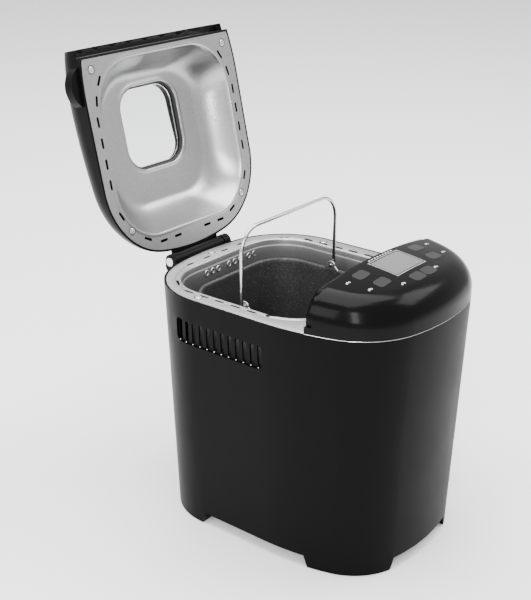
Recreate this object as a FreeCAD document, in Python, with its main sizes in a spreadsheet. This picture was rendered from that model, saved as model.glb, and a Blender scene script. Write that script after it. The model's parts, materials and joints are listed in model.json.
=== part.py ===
import FreeCAD, Part
import math
import os
import re

# Bread machine: a tapered housing with a sheet-metal deck round a baking chamber, a domed control
# panel in front, and a domed lid with a window, hinged behind.  A lift-out pan with a wire bail
# holds the kneading paddle, and a belt from a motor in front turns it.
# +Z is up, -Y is the front (control panel) and +X is the user's right.  Everything is drawn about
# the middle of the deck with the lid closed.  At the end the lid is opened, and the whole machine is
# moved so that the origin is at the bottom centre of its bounding box.
# Sizes are in millimetres and degrees.

SIZES = [
    # the deck outline, a closed chain of tangent arcs, the same left and right
    ("half_width", 109.4),
    ("front_reach", 147.0),
    ("rear_reach", 142.4),
    ("front_radius", 204.0),
    ("front_corner_radius", 72.0),
    ("flank_radius", 250.0),
    ("flank_start", -20.0),
    ("rear_corner_radius", 75.0),
    ("rear_radius", 255.0),
    # housing
    ("deck_height", 250.0),
    ("foot_underside", 0.8),
    ("foot_inset", 10.0),
    ("wall", 2.0),
    ("foot_floor", 5.2),
    ("arch_height", 13.0),
    ("arch_front", -72.0),
    ("arch_rear", 66.0),
    ("arch_half_width", 54.0),
    ("arch_slope", 8.0),
    ("ledge_width", 11.0),
    ("ledge_depth", 4.0),
    ("rib_depth", 14.0),
    ("plate_gap", 0.3),
    ("sheet", 1.0),
    ("trim_height", 1.2),
    ("trim_proud", 0.4),
    ("rib_width", 4.0),
    ("screw_hole", 1.8),
    ("screw_head", 3.6),
    ("head_proud", 0.3),
    ("deck_screw_inset", 9.0),
    ("deck_screw_offset", 32.0),
    ("rear_screw_inset", 8.0),
    ("slot_length", 10.5),
    ("slot_width", 2.2),
    ("deck_slot_inset", 13.2),
    ("rear_slot_inset", 14.2),
    # the dome shared by the panel and the lid
    ("panel_wall_y", -66.5),
    ("dome_rise", 47.0),
    ("crown_radius", 590.0),
    ("crown_y", -26.0),
    ("dome_fillet", 29.0),
    ("lid_gap", 0.8),
    ("lid_front_gap", 0.5),
    ("lip_reach", 6.5),
    ("lip_thick", 2.4),
    ("lip_gap", 0.5),
    ("lip_start", 8.0),
    # baking chamber
    ("deck_margin", 18.9),
    ("front_margin", 9.0),
    ("rear_margin", 22.9),
    ("chamber_corner", 46.0),
    ("chamber_floor", 60.0),
    ("flange", 3.0),
    ("flange_gap", 0.5),
    ("hole_gap", 1.5),
    # lid liner, dish and window
    ("dish_overhang", 3.5),
    ("dish_end_overhang", 0.25),
    ("dish_corner", 50.0),
    ("dish_clearance", 1.45),
    ("dish_slope", 28.0),
    ("dish_end_slope", 26.75),
    ("dish_floor_corner", 40.0),
    ("dish_floor_offset", 3.0),
    ("window_width", 80.0),
    ("window_length", 83.0),
    ("window_corner", 22.0),
    ("window_offset", 15.0),
    ("liner_screw_inset", 14.0),
    ("liner_screw_reach", 13.5),
    ("liner_rear_screw_inset", 24.9),
    ("liner_rear_screw_reach", 77.5),
    ("liner_slot_inset", 9.5),
    ("liner_rear_slot_inset", 13.8),
    ("gasket_width", 3.0),
    ("gasket_height", 4.2),
    ("glass_thick", 3.0),
    # hinge
    ("hinge_back", 9.2),
    ("hinge_drop", 2.1),
    ("lid_opening", 102.7),
    ("pin_radius", 3.0),
    ("pin_clearance", 0.06),
    ("barrel_radius", 6.5),
    ("ear_radius", 7.5),
    ("barrel_half", 34.0),
    ("ear_gap", 0.6),
    ("ear_width", 9.0),
    ("bracket_drop", 28.0),
    ("bracket_bar", 14.0),
    ("bracket_depth", 16.0),
    ("pin_reach", 16.0),
    ("pin_head_radius", 4.5),
    ("pin_head", 2.0),
    # grip on the left edge of the lid
    ("grip_radius", 22.0),
    ("grip_inset", 10.4),
    ("grip_setback", 28.5),
    ("grip_rise", 4.0),
    ("grip_height", 10.0),
    # side vents
    ("vent_offset", 1.0),
    ("vent_length", 108.0),
    ("vent_drop", 48.0),
    ("vent_height", 25.0),
    ("vent_corner", 6.0),
    ("vent_lap", 4.0),
    ("vent_pitch", 8.95),
    ("vent_slots", 12.0),
    ("vent_slot_width", 4.4),
    ("vent_slot_margin", 2.5),
    # base and drive
    ("base_plate_z", 14.0),
    ("base_plate_thick", 2.0),
    ("chassis_z", 42.0),
    ("chassis_thick", 2.0),
    ("chassis_margin", 6.0),
    ("post_radius", 5.0),
    ("post_inset", 33.4),
    ("post_front_inset", 71.0),
    ("post_rear_inset", 56.0),
    ("liner_post_inset", 57.4),
    ("liner_post_reach", 63.0),
    ("pad_radius", 9.0),
    ("pad_recess", 1.5),
    ("pad_inset", 41.4),
    ("pad_front_inset", 53.0),
    ("pad_rear_inset", 45.4),
    ("pulley_z", 20.0),
    ("pulley_height", 12.0),
    ("pulley_radius", 48.0),
    ("pulley_groove", 3.0),
    ("motor_pulley_radius", 10.0),
    ("motor_pulley_groove", 2.0),
    ("belt_height", 7.4),
    ("belt_thick", 2.0),
    ("belt_gap", 0.3),
    ("shaft_radius", 5.0),
    ("running_gap", 0.05),
    ("bearing_radius", 14.0),
    ("bearing_base", 36.0),
    ("bearing_top", 58.0),
    ("coupler_z", 64.0),
    ("coupler_radius", 14.0),
    ("coupler_disc", 5.0),
    ("dog_height", 6.0),
    ("dog_width", 5.0),
    ("dog_inner", 6.5),
    ("dog_gap", 1.0),
    ("motor_x", -20.0),
    ("motor_inset", 49.0),
    ("motor_margin", 3.0),
    ("motor_radius", 27.0),
    ("motor_base", 47.0),
    ("motor_height", 66.0),
    ("motor_shaft_radius", 2.5),
    # pan
    ("pan_bottom", 84.0),
    ("rim_drop", 15.0),
    ("pan_side_gap", 14.5),
    ("pan_end_gap", 12.5),
    ("rim_overhang", 2.5),
    ("pan_draft", 5.5),
    ("pan_corner", 36.0),
    ("pan_wall", 1.6),
    ("rim_height", 4.0),
    ("seat_gap", 0.3),
    ("ring_radius", 30.0),
    ("ring_wall", 3.0),
    ("seat_wall", 4.0),
    ("seat_height", 8.0),
    ("seat_clearance", 1.0),
    ("bush_radius", 9.0),
    ("bush_top", 98.0),
    ("mixer_radius", 4.0),
    ("mixer_top", 118.0),
    ("seal_height", 3.0),
    ("paddle_gap", 0.5),
    ("paddle_bore_gap", 0.08),
    ("paddle_hub_radius", 9.0),
    ("paddle_hub_height", 22.0),
    ("paddle_reach", 50.0),
    ("paddle_height", 26.0),
    ("paddle_thick", 5.0),
    # bail
    ("bail_radius", 1.75),
    ("bail_inset", 1.0),
    ("ear_rise", 4.5),
    ("ear_round", 5.0),
    ("ear_foot", 9.0),
    ("ear_gap_side", 1.8),
    ("bail_end_gap", 11.5),
    ("bail_bend", 24.0),
    ("bail_tip", 6.0),
    ("bail_foot_bend", 2.6),
    ("ear_plate", 1.6),
    ("bail_hole_gap", 0.08),
    # heater and sensors
    ("heater_radius", 3.5),
    ("heater_gap", 10.0),
    ("heater_corner", 40.0),
    ("heater_z", 84.0),
    ("heater_tail_x", 14.0),
    ("heater_tail", 18.0),
    ("sensor_radius", 3.0),
    ("sensor_z", 112.0),
    ("sensor_x", 40.0),
    ("fuse_radius", 3.0),
    ("fuse_length", 18.0),
    ("fuse_rise", 40.0),
    ("clip_half", 5.0),
    # panel fittings
    ("lens_width", 44.0),
    ("lens_length", 29.0),
    ("lens_setback", 26.0),
    ("lens_corner", 1.5),
    ("fit_gap", 0.15),
    ("module_gap", 0.4),
    ("board_drop", 25.0),
    ("board_thick", 1.6),
    ("board_half", 62.0),
    ("board_front_setback", 59.5),
    ("board_rear_setback", 9.5),
    ("button_width", 17.0),
    ("button_length", 12.0),
    ("button_corner", 3.5),
    ("button_gap", 0.4),
    ("button_proud", 0.3),
    ("button_stem", 6.0),
    ("switch_height", 6.0),
    ("switch_half", 3.0),
    ("switch_gap", 1.4),
    ("boss_radius", 3.0),
    ("power_board_left", 20.0),
    ("power_board_right", 78.0),
    ("power_board_setback", 15.5),
    ("power_board_drop", 100.0),
    ("catch_inset", 12.4),
    ("catch_setback", 10.5),
    ("catch_half_width", 6.0),
    ("catch_half_length", 5.0),
    ("catch_rise", 0.15),
    # cord inlet
    ("inlet_x", 40.0),
    ("inlet_z", 34.0),
    ("inlet_radius", 7.0),
    ("inlet_bore", 3.6),
    ("inlet_flange", 2.5),
    ("inlet_depth", 12.0),
]

# what follows from the sizes: places that line up, and fits with their clearances
FITS = [
    ("chamber_width", "2 * (half_width - deck_margin)"),
    ("chamber_length", "rear_reach - rear_margin - panel_wall_y - front_margin"),
    ("chamber_y", "(rear_reach - rear_margin + panel_wall_y + front_margin) / 2"),
    ("dish_width", "chamber_width + 2 * dish_overhang"),
    ("dish_length", "chamber_length + 2 * dish_end_overhang"),
    ("dish_floor_width", "dish_width - 2 * dish_slope"),
    ("dish_floor_length", "dish_length - 2 * dish_end_slope"),
    ("dish_floor_y", "chamber_y - dish_floor_offset"),
    ("window_y", "chamber_y - window_offset"),
    # the dome's drop from its crown to above the rear corners of the dish's floor
    ("dish_corner_x", "dish_floor_width / 2 - (1 - sqrt(0.5)) * dish_floor_corner"),
    ("dish_corner_y", "dish_floor_y + dish_floor_length / 2 - (1 - sqrt(0.5)) * dish_floor_corner"),
    ("dish_corner_reach", "sqrt(dish_corner_x ^ 2 + (dish_corner_y - crown_y) ^ 2)"),
    ("dish_drop", "crown_radius - sqrt(crown_radius ^ 2 - dish_corner_reach ^ 2)"),
    ("dish_depth", "dome_rise - dish_drop - wall - dish_clearance - sheet - lid_gap"),
    ("glass_seat", "deck_height + lid_gap + dish_depth + sheet"),
    ("hinge_y", "rear_reach + hinge_back"),
    ("hinge_z", "deck_height - hinge_drop"),
    ("hinge_foot", "deck_height - bracket_drop"),
    ("grip_x", "grip_inset - half_width"),
    ("grip_y", "panel_wall_y + grip_setback"),
    ("vent_y", "chamber_y + vent_offset"),
    ("vent_base", "deck_height - vent_drop"),
    ("post_x", "half_width - post_inset"),
    ("post_front_y", "post_front_inset - front_reach"),
    ("post_rear_y", "rear_reach - post_rear_inset"),
    ("pad_x", "half_width - pad_inset"),
    ("pad_front_y", "pad_front_inset - front_reach"),
    ("pad_rear_y", "rear_reach - pad_rear_inset"),
    ("motor_y", "motor_inset - front_reach"),
    ("pan_rim_z", "deck_height - rim_drop"),
    ("rim_width", "chamber_width - 2 * pan_side_gap"),
    ("rim_length", "chamber_length - 2 * pan_end_gap"),
    ("pan_top_width", "rim_width - 2 * rim_overhang"),
    ("pan_top_length", "rim_length - 2 * rim_overhang"),
    ("pan_base_width", "pan_top_width - 2 * pan_draft"),
    ("pan_base_length", "pan_top_length - 2 * pan_draft"),
    ("bail_half", "rim_width / 2 - bail_inset"),
    ("bail_pivot_z", "pan_rim_z + ear_rise"),
    ("bail_height", "chamber_length / 2 - bail_end_gap"),
    ("heater_width", "chamber_width - 2 * heater_gap"),
    ("heater_length", "chamber_length - 2 * heater_gap"),
    ("lens_y", "panel_wall_y - lens_setback"),
    ("board_z", "deck_height + dome_rise - board_drop"),
    ("board_front", "panel_wall_y - board_front_setback"),
    ("board_rear", "panel_wall_y - board_rear_setback"),
    ("stem_base", "board_z + board_thick + switch_height + switch_gap"),
    ("catch_x", "catch_inset - half_width"),
    ("catch_y", "panel_wall_y + catch_setback"),
]

doc = FreeCAD.newDocument("bread_machine")
sheet = doc.addObject("Spreadsheet::Sheet", "size")
for row, (alias, value) in enumerate(SIZES, start=1):
    sheet.set("A%d" % row, alias)
    sheet.set("B%d" % row, str(value))
    sheet.setAlias("B%d" % row, alias)
doc.recompute()
fits = doc.addObject("App::VarSet", "fits")
HOMES = {alias: "size." for alias, value in SIZES}


class Values:
    """The sizes and fits as plain numbers, for sketch geometry."""

    def __getattr__(self, alias):
        return float(getattr(sheet if HOMES[alias] == "size." else fits, alias))


S = Values()
X = FreeCAD.Vector(1, 0, 0)
Y = FreeCAD.Vector(0, 1, 0)
Z = FreeCAD.Vector(0, 0, 1)
FAR = 400.0  # further than any face of the model, for cutting blocks
NODES = []


def formula(text):
    """A formula over the sheet's cells and the fits, from one over their plain names."""
    def full_name(match):
        word = match.group()
        return HOMES.get(word, "") + word
    return re.sub(r"[a-z_][a-z_0-9]*", full_name, str(text))


for alias, text in FITS:
    fits.addProperty("App::PropertyFloat", alias)
    fits.setExpression(alias, formula(text))
    HOMES[alias] = "fits."
doc.recompute()


def bind(thing, **formulas):
    for name, text in formulas.items():
        thing.setExpression(name, formula(text))
    return thing


def place(thing, x=0, y=0, z=0, rotation=None):
    if rotation is not None:
        thing.Placement = FreeCAD.Placement(FreeCAD.Vector(), rotation)
    for axis, text in (("x", x), ("y", y), ("z", z)):
        thing.setExpression("Placement.Base." + axis, formula(text))
    return thing


def node(thing, name):
    """Marks a finished sub-part, whose label is its node's name."""
    thing.Label = name
    NODES.append(thing)
    return thing


# ---------------------------------------------------------------- primitives and booleans

def block(x0, x1, y0, y1, z0, z1):
    box = doc.addObject("Part::Box", "block")
    bind(box, Length="(%s) - (%s)" % (x1, x0), Width="(%s) - (%s)" % (y1, y0),
         Height="(%s) - (%s)" % (z1, z0))
    return place(box, x0, y0, z0)


def rod(radius, length, x=0, y=0, z=0, along="z"):
    turn = {"x": FreeCAD.Rotation(Y, 90), "y": FreeCAD.Rotation(X, -90), "z": None}[along]
    cylinder = doc.addObject("Part::Cylinder", "rod")
    bind(cylinder, Radius=radius, Height=length)
    return place(cylinder, x, y, z, turn)


def fuse(*parts):
    joined = doc.addObject("Part::MultiFuse", "fuse")
    joined.Shapes = list(parts)
    return joined


def group(*parts):
    kept = doc.addObject("Part::Compound", "group")
    kept.Links = list(parts)
    return kept


def cut(base, *tools):
    left = doc.addObject("Part::Cut", "cut")
    left.Base = base
    left.Tool = tools[0] if len(tools) == 1 else fuse(*tools)
    return left


def common(first, second):
    shared = doc.addObject("Part::Common", "common")
    shared.Base = first
    shared.Tool = second
    return shared


def tube(outer, inner, length, x=0, y=0, z=0, along="z"):
    return cut(rod(outer, length, x, y, z, along), rod(inner, length, x, y, z, along))


# ---------------------------------------------------------------- outlines

def arc_to(centre, radius, start, end):
    """An anticlockwise arc between two angles in radians."""
    circle = Part.Circle(FreeCAD.Vector(centre[0], centre[1], 0), Z, radius)
    return Part.ArcOfCircle(circle, start, end)


def angle(origin, point):
    return math.atan2(point[1] - origin[1], point[0] - origin[0])


def outline(grow):
    """The deck outline moved outwards by grow, as arcs and lines going anticlockwise from the front."""
    front = (0.0, S.front_radius - S.front_reach)
    flank = (S.half_width - S.flank_radius, S.flank_start)
    rear = (0.0, S.rear_reach - S.rear_radius)
    # the front corner's centre is where two circles cross, because it touches both its neighbours
    reach_a = S.front_radius - S.front_corner_radius
    reach_b = S.flank_radius - S.front_corner_radius
    apart = math.dist(front, flank)
    along = (reach_a ** 2 - reach_b ** 2 + apart ** 2) / (2 * apart)
    aside = math.sqrt(reach_a ** 2 - along ** 2)
    ux = (flank[0] - front[0]) / apart
    uy = (flank[1] - front[1]) / apart
    corner = (front[0] + along * ux - aside * uy, front[1] + along * uy + aside * ux)
    if corner[0] < 0:
        corner = (front[0] + along * ux + aside * uy, front[1] + along * uy - aside * ux)
    tail_x = S.half_width - S.rear_corner_radius
    tail_y = rear[1] + math.sqrt((S.rear_radius - S.rear_corner_radius) ** 2 - tail_x ** 2)
    tail = (tail_x, tail_y)
    a_front = angle(front, corner)
    a_flank = angle(flank, corner)
    a_tail = angle(rear, tail)
    side = S.half_width + grow
    half_turn = math.pi
    right = [
        arc_to(corner, S.front_corner_radius + grow, a_front, a_flank),
        arc_to(flank, S.flank_radius + grow, a_flank, 0.0),
        Part.LineSegment(FreeCAD.Vector(side, flank[1], 0), FreeCAD.Vector(side, tail[1], 0)),
        arc_to(tail, S.rear_corner_radius + grow, 0.0, a_tail),
    ]
    left = [
        arc_to((-tail[0], tail[1]), S.rear_corner_radius + grow, half_turn - a_tail, half_turn),
        Part.LineSegment(FreeCAD.Vector(-side, tail[1], 0), FreeCAD.Vector(-side, flank[1], 0)),
        arc_to((-flank[0], flank[1]), S.flank_radius + grow, half_turn, half_turn - a_flank),
        arc_to((-corner[0], corner[1]), S.front_corner_radius + grow, half_turn - a_flank,
               half_turn - a_front),
    ]
    return (
        [arc_to(front, S.front_radius + grow, half_turn - a_front, a_front)]
        + right
        + [arc_to(rear, S.rear_radius + grow, a_tail, half_turn - a_tail)]
        + left
    )


def rear_edge(x, grow):
    """Where the outline's rear arc lies at a given x."""
    return S.rear_reach - S.rear_radius + math.sqrt((S.rear_radius + grow) ** 2 - x ** 2)


def rounded(width, length, corner, y=0.0, x=0.0):
    """A rounded rectangle about (x, y), anticlockwise."""
    half_x = width / 2.0
    half_y = length / 2.0
    edges = []
    for step, (sx, sy) in enumerate(((1, 1), (-1, 1), (-1, -1), (1, -1))):
        centre = (x + sx * (half_x - corner), y + sy * (half_y - corner))
        edges.append(arc_to(centre, corner, step * math.pi / 2, (step + 1) * math.pi / 2))
    joined = []
    for here, there in zip(edges, edges[1:] + edges[:1]):
        joined += [here, Part.LineSegment(here.EndPoint, there.StartPoint)]
    return joined


def chain(points):
    """Straight lines from each point to the next."""
    corners = [FreeCAD.Vector(a, b, 0) for a, b in points]
    return [Part.LineSegment(a, b) for a, b in zip(corners, corners[1:])]


def polygon(points):
    return chain(points + points[:1])


def chamber_outline(grow):
    """The chamber's inner wall moved outwards by grow."""
    return rounded(S.chamber_width + 2 * grow, S.chamber_length + 2 * grow, S.chamber_corner + grow,
                   S.chamber_y)


# ---------------------------------------------------------------- sketched bodies

def sketch_on(body, role, offset, edges):
    sketch = body.newObject("Sketcher::SketchObject", "profile")
    plane = [part for part in body.Origin.OriginFeatures if part.Role == role][0]
    sketch.AttachmentSupport = [(plane, "")]
    sketch.MapMode = "FlatFace"
    sketch.setExpression("AttachmentOffset.Base.z", formula(offset))
    sketch.addGeometry(edges, False)
    return sketch


def padded(edges, start, length, role="XY_Plane", middle=False):
    """A profile pushed out square to its plane."""
    body = doc.addObject("PartDesign::Body", "body")
    pad = body.newObject("PartDesign::Pad", "pad")
    pad.Profile = sketch_on(body, role, start, edges)
    pad.Midplane = middle
    bind(pad, Length=length)
    body.Tip = pad
    return body


def lofted(edges, start, top_edges, end):
    """A straight-sided body between two level profiles."""
    body = doc.addObject("PartDesign::Body", "body")
    lower = sketch_on(body, "XY_Plane", start, edges)
    upper = sketch_on(body, "XY_Plane", end, top_edges)
    loft = body.newObject("PartDesign::AdditiveLoft", "loft")
    loft.Profile = lower
    loft.Sections = [upper]
    loft.Ruled = True
    body.Tip = loft
    return body


def swept(path, radius, x, y, z, turn):
    """A round wire along a sketched path, whose section stands at (x, y, z)."""
    section = doc.addObject("Part::Circle", "section")
    bind(section, Radius=radius)
    place(section, x, y, z, turn)
    sweep = doc.addObject("Part::Sweep", "wire")
    sweep.Sections = [section]
    sweep.Spine = (path, ["Edge%d" % (i + 1) for i in range(path.GeometryCount)])
    sweep.Solid = True
    return sweep


# ---------------------------------------------------------------- shared shapes

def shell_band(inset, start, end, start_height, end_height):
    """The tapered housing shape, inset from its outer face, between two heights."""
    taper = S.foot_inset / S.deck_height
    grow = S.wall - inset
    lower = outline(grow - taper * (S.deck_height - start_height))
    upper = outline(grow - taper * (S.deck_height - end_height))
    return lofted(lower, start, upper, end)


def loaf(inset):
    """The dome of panel and lid together, inset from its outer face, standing below deck level."""
    sides = padded(outline(S.wall - inset), "deck_height - 12", "dome_rise + 40")
    ball = doc.addObject("Part::Sphere", "crown")
    bind(ball, Radius="crown_radius - %g" % inset)
    place(ball, 0, "crown_y", "deck_height + dome_rise - crown_radius", FreeCAD.Rotation(Y, 90))
    block_of_dome = common(sides, ball)
    doc.recompute()
    rounding = doc.addObject("Part::Fillet", "dome")
    rounding.Base = block_of_dome
    radius = S.dome_fillet - inset
    edges = []
    for index, edge in enumerate(block_of_dome.Shape.Edges, start=1):
        lowest = edge.BoundBox.ZMin
        if lowest > S.deck_height:
            edges.append((index, radius, radius))
    rounding.Edges = edges
    return rounding


dome = loaf(0.0)
dome_inside = loaf(S.wall)
lip_inside = loaf(S.lip_thick)
rebate_inside = loaf(S.lip_thick + S.lip_gap)
dome_skin = cut(dome, dome_inside)


# ---------------------------------------------------------------- housing

def arch(start, end):
    """The side view of an arch between two feet, open below the table."""
    return polygon([(start, -S.arch_height), (end, -S.arch_height),
                    (end - S.arch_slope, S.arch_height), (start + S.arch_slope, S.arch_height)])


def housing():
    outer = shell_band(0.0, "foot_underside", "deck_height", S.foot_underside, S.deck_height)
    floor = S.foot_underside + S.foot_floor
    inner = shell_band(S.wall, "foot_underside + foot_floor", "deck_height + 1", floor,
                       S.deck_height + 1.0)
    side_arch = padded(arch(S.arch_front, S.arch_rear), 0, 2 * FAR, "YZ_Plane", True)
    end_arch = padded(arch(-S.arch_half_width, S.arch_half_width), 0, 2 * FAR, "XZ_Plane", True)
    vents = [
        padded(rounded(S.vent_length, S.vent_height, S.vent_corner,
                       S.vent_base + S.vent_height / 2.0, S.vent_y),
               start, FAR, "YZ_Plane")
        for start in ("half_width / 2", "-half_width / 2 - %g" % FAR)
    ]
    inlet = rod("inlet_radius", 60, "inlet_x", "rear_reach - 40", "inlet_z", "y")
    shell = cut(outer, inner, side_arch, end_arch, inlet, *vents)
    ledge = cut(
        padded(outline(-0.1), "deck_height - sheet - ledge_depth", "ledge_depth"),
        padded(outline(-S.ledge_width), "deck_height - sheet - ledge_depth - 1", "ledge_depth + 2"),
        padded(chamber_outline(S.sheet + S.flange + S.flange_gap), "chamber_floor", "deck_height"),
        block(-FAR, FAR, -FAR, "panel_wall_y - rib_width", 0, FAR))
    rib = common(
        padded(outline(-0.1), "deck_height - rib_depth", "rib_depth + trim_height"),
        fuse(block(-FAR, FAR, "panel_wall_y - rib_width", "panel_wall_y", 0, FAR),
             block(-FAR, FAR, "panel_wall_y - rib_width", "panel_wall_y + rib_width", 0,
                   "deck_height - sheet")))
    posts = [
        rod("post_radius + 1", "base_plate_z - foot_underside - foot_floor", x, y,
            "foot_underside + foot_floor")
        for x in ("pad_x", "-pad_x") for y in ("pad_front_y", "pad_rear_y")
    ]
    recesses = [
        rod("pad_radius", "pad_recess + 5", x, y, "foot_underside - 5")
        for x in ("pad_x", "-pad_x") for y in ("pad_front_y", "pad_rear_y")
    ]
    holes = [
        rod("screw_hole", 30, x, y, "deck_height - 20") for x, y in DECK_SCREWS
    ]
    whole = fuse(shell, ledge, rib, *posts)
    return cut(whole, *(recesses + holes))


DECK_SCREWS = [
    ("deck_screw_inset - half_width", "chamber_y + deck_screw_offset"),
    ("half_width - deck_screw_inset", "chamber_y + deck_screw_offset"),
    (0, "rear_reach - rear_screw_inset"),
]
node(housing(), "housing_shell")
housing_solid = shell_band(0.0, "foot_underside", "deck_height", S.foot_underside, S.deck_height)


def level_grow(height):
    """How far the housing's inner face lies from the deck outline at a height."""
    return -S.foot_inset / S.deck_height * (S.deck_height - height)


POSTS = [(x, y) for x in ("post_x", "-post_x") for y in ("post_front_y", "post_rear_y")]
node(cut(padded(outline(level_grow(S.base_plate_z) - S.plate_gap), "base_plate_z", "base_plate_thick"),
         *[rod("2", "10", x, y, "base_plate_z - 4") for x, y in POSTS]), "base_plate")
node(group(*[
    rod("pad_radius", "foot_underside + pad_recess", x, y, 0)
    for x in ("pad_x", "-pad_x") for y in ("pad_front_y", "pad_rear_y")
]), "foot_pads")


def slot(x, y, turn, z):
    """A narrow slot through level sheet, its length turned from the Y axis."""
    body = padded(rounded(S.slot_width, S.slot_length, S.slot_width / 2.0 - 0.01), "0", 6)
    body.Placement = FreeCAD.Placement(FreeCAD.Vector(x, y, z), FreeCAD.Rotation(Z, turn))
    return body


def slot_ring(z, side_x, side_first, side_count, side_pitch, rear_y, rear_half, corners):
    """Rows of slots along both sides and the rear, with single slots at the corners."""
    made = []
    for side in (-1, 1):
        for step in range(side_count):
            made.append(slot(side * side_x, side_first + step * side_pitch, 0, z))
        for x in rear_half:
            made.append(slot(side * x, rear_y, 90, z))
        for x, y, turn in corners:
            made.append(slot(side * x, y, -side * turn, z))
    return made


def deck_plate():
    plate = padded(outline(-S.plate_gap), "deck_height - sheet", "sheet")
    opening = padded(chamber_outline(0.0), "deck_height - 5", 10)
    front = block(-FAR, FAR, -FAR, "panel_wall_y + plate_gap", 0, FAR)
    slots = slot_ring(
        z=S.deck_height - 3.0, side_x=S.half_width - S.deck_slot_inset, side_first=S.chamber_y - 29.0,
        side_count=5, side_pitch=19.4, rear_y=S.rear_reach - S.rear_slot_inset, rear_half=(14.0, 40.0),
        corners=[(S.half_width - S.deck_slot_inset - 4.3, S.chamber_y - 49.5, 20)])
    holes = [rod("screw_hole", 10, x, y, "deck_height - 5") for x, y in DECK_SCREWS]
    return cut(plate, opening, front, *(slots + holes))


node(deck_plate(), "deck_plate")
node(group(*[
    fuse(rod("screw_head", "head_proud", x, y, "deck_height"),
         rod("screw_hole", 10, x, y, "deck_height - 10"))
    for x, y in DECK_SCREWS
]), "deck_screws")
node(common(
    cut(padded(outline(S.wall + S.trim_proud), "deck_height", "trim_height"),
        padded(outline(0.0), "deck_height - 1", "trim_height + 2")),
    block(-FAR, FAR, -FAR, "panel_wall_y", 0, FAR)), "seam_trim")


def chamber_liner():
    outer = padded(chamber_outline(S.sheet), "chamber_floor", "deck_height - sheet - chamber_floor")
    inner = padded(chamber_outline(0.0), "chamber_floor + sheet", "deck_height - chamber_floor")
    lip = padded(chamber_outline(S.sheet + S.flange), "deck_height - 2 * sheet", "sheet")
    before_wall = "chamber_y - chamber_length / 2 - 10"
    holes = [
        rod("shaft_radius + hole_gap", 20, 0, "chamber_y", "chamber_floor - 10"),
        rod("sensor_radius", 20, "sensor_x", before_wall, "sensor_z", "y"),
        rod("heater_radius", 20, "heater_tail_x", before_wall, "heater_z", "y"),
        rod("heater_radius", 20, "-heater_tail_x", before_wall, "heater_z", "y"),
    ]
    return cut(fuse(outer, lip), inner, *holes)


node(chamber_liner(), "chamber_liner")


# ---------------------------------------------------------------- heater and sensors

def bend(x, y, turn):
    """A quarter turn of the element, about (x, y), starting at an angle."""
    ring = doc.addObject("Part::Torus", "bend")
    bind(ring, Radius1="heater_corner", Radius2="heater_radius", Angle3=90)
    return place(ring, x, y, "heater_z", FreeCAD.Rotation(Z, turn))


def elbow(x, y):
    ball = doc.addObject("Part::Sphere", "elbow")
    bind(ball, Radius="heater_radius")
    return place(ball, x, y, "heater_z")


def heating_element():
    """A bar round the chamber's foot, open in front, whose ends go out through the front wall."""
    right, left = "heater_width / 2 - heater_corner", "heater_corner - heater_width / 2"
    rear = "chamber_y + heater_length / 2 - heater_corner"
    front = "chamber_y - heater_length / 2 + heater_corner"
    front_bar = "chamber_y - heater_length / 2"
    side_length = "heater_length - 2 * heater_corner"
    front_length = "heater_width / 2 - heater_corner - heater_tail_x"
    pieces = [
        bend(right, rear, 0), bend(left, rear, 90), bend(left, front, 180), bend(right, front, 270),
        rod("heater_radius", "heater_width - 2 * heater_corner", left, "chamber_y + heater_length / 2",
            "heater_z", "x"),
        rod("heater_radius", side_length, "heater_width / 2", front, "heater_z", "y"),
        rod("heater_radius", side_length, "-heater_width / 2", front, "heater_z", "y"),
        rod("heater_radius", front_length, "heater_tail_x", front_bar, "heater_z", "x"),
        rod("heater_radius", front_length, left, front_bar, "heater_z", "x"),
    ]
    for x in ("heater_tail_x", "-heater_tail_x"):
        pieces.append(elbow(x, front_bar))
        pieces.append(rod("heater_radius", "heater_tail", x, front_bar + " - heater_tail", "heater_z", "y"))
    return fuse(*pieces)


node(heating_element(), "heating_element")


def heater_clips():
    """Blocks that hold the element off the walls: one on the left, one on the right, one behind."""
    inner = "heater_width / 2 + heater_radius"
    low, high = "heater_z - heater_radius", "heater_z + heater_radius"
    near, far = "chamber_y - clip_half", "chamber_y + clip_half"
    right = block(inner, "chamber_width / 2", near, far, low, high)
    left = block("-chamber_width / 2", "-(%s)" % inner, near, far, low, high)
    rear = block("-clip_half", "clip_half", "chamber_y + heater_length / 2 + heater_radius",
                 "chamber_y + chamber_length / 2", low, high)
    return group(left, right, rear)


node(heater_clips(), "heater_clips")
node(rod("sensor_radius", 22, "sensor_x", "chamber_y - chamber_length / 2 - 10", "sensor_z", "y"),
     "temperature_sensor")
node(rod("fuse_radius", "fuse_length", "-sensor_x - fuse_length / 2",
         "chamber_y - chamber_length / 2 - sheet - fuse_radius", "sensor_z + fuse_rise", "x"),
     "thermal_fuse")


# ---------------------------------------------------------------- chassis and drive

def chassis_plate():
    plate = padded(outline(level_grow(S.chassis_z) - S.chassis_margin), "chassis_z", "chassis_thick")
    return cut(plate, rod("bearing_radius", 10, 0, "chamber_y", "chassis_z - 4"),
               rod("motor_shaft_radius + 3", 10, "motor_x", "motor_y", "chassis_z - 4"))


LINER_POSTS = [
    (x, y)
    for x in ("half_width - liner_post_inset", "liner_post_inset - half_width")
    for y in ("chamber_y - liner_post_reach", "chamber_y + liner_post_reach")
]
node(chassis_plate(), "chassis_plate")
node(group(*[
    cut(rod("post_radius", "chassis_z - base_plate_z - base_plate_thick", x, y,
            "base_plate_z + base_plate_thick"),
        rod("2", "14", x, y, "base_plate_z"))
    for x, y in POSTS
]), "chassis_posts")
node(group(*[
    fuse(rod("4", "2.4", x, y, "base_plate_z - 2.4"), rod("2", "14", x, y, "base_plate_z - 1"))
    for x, y in POSTS
]), "base_screws")
node(group(*[
    rod("post_radius", "chamber_floor - chassis_z - chassis_thick", x, y, "chassis_z + chassis_thick")
    for x, y in LINER_POSTS
]), "chamber_posts")


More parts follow.
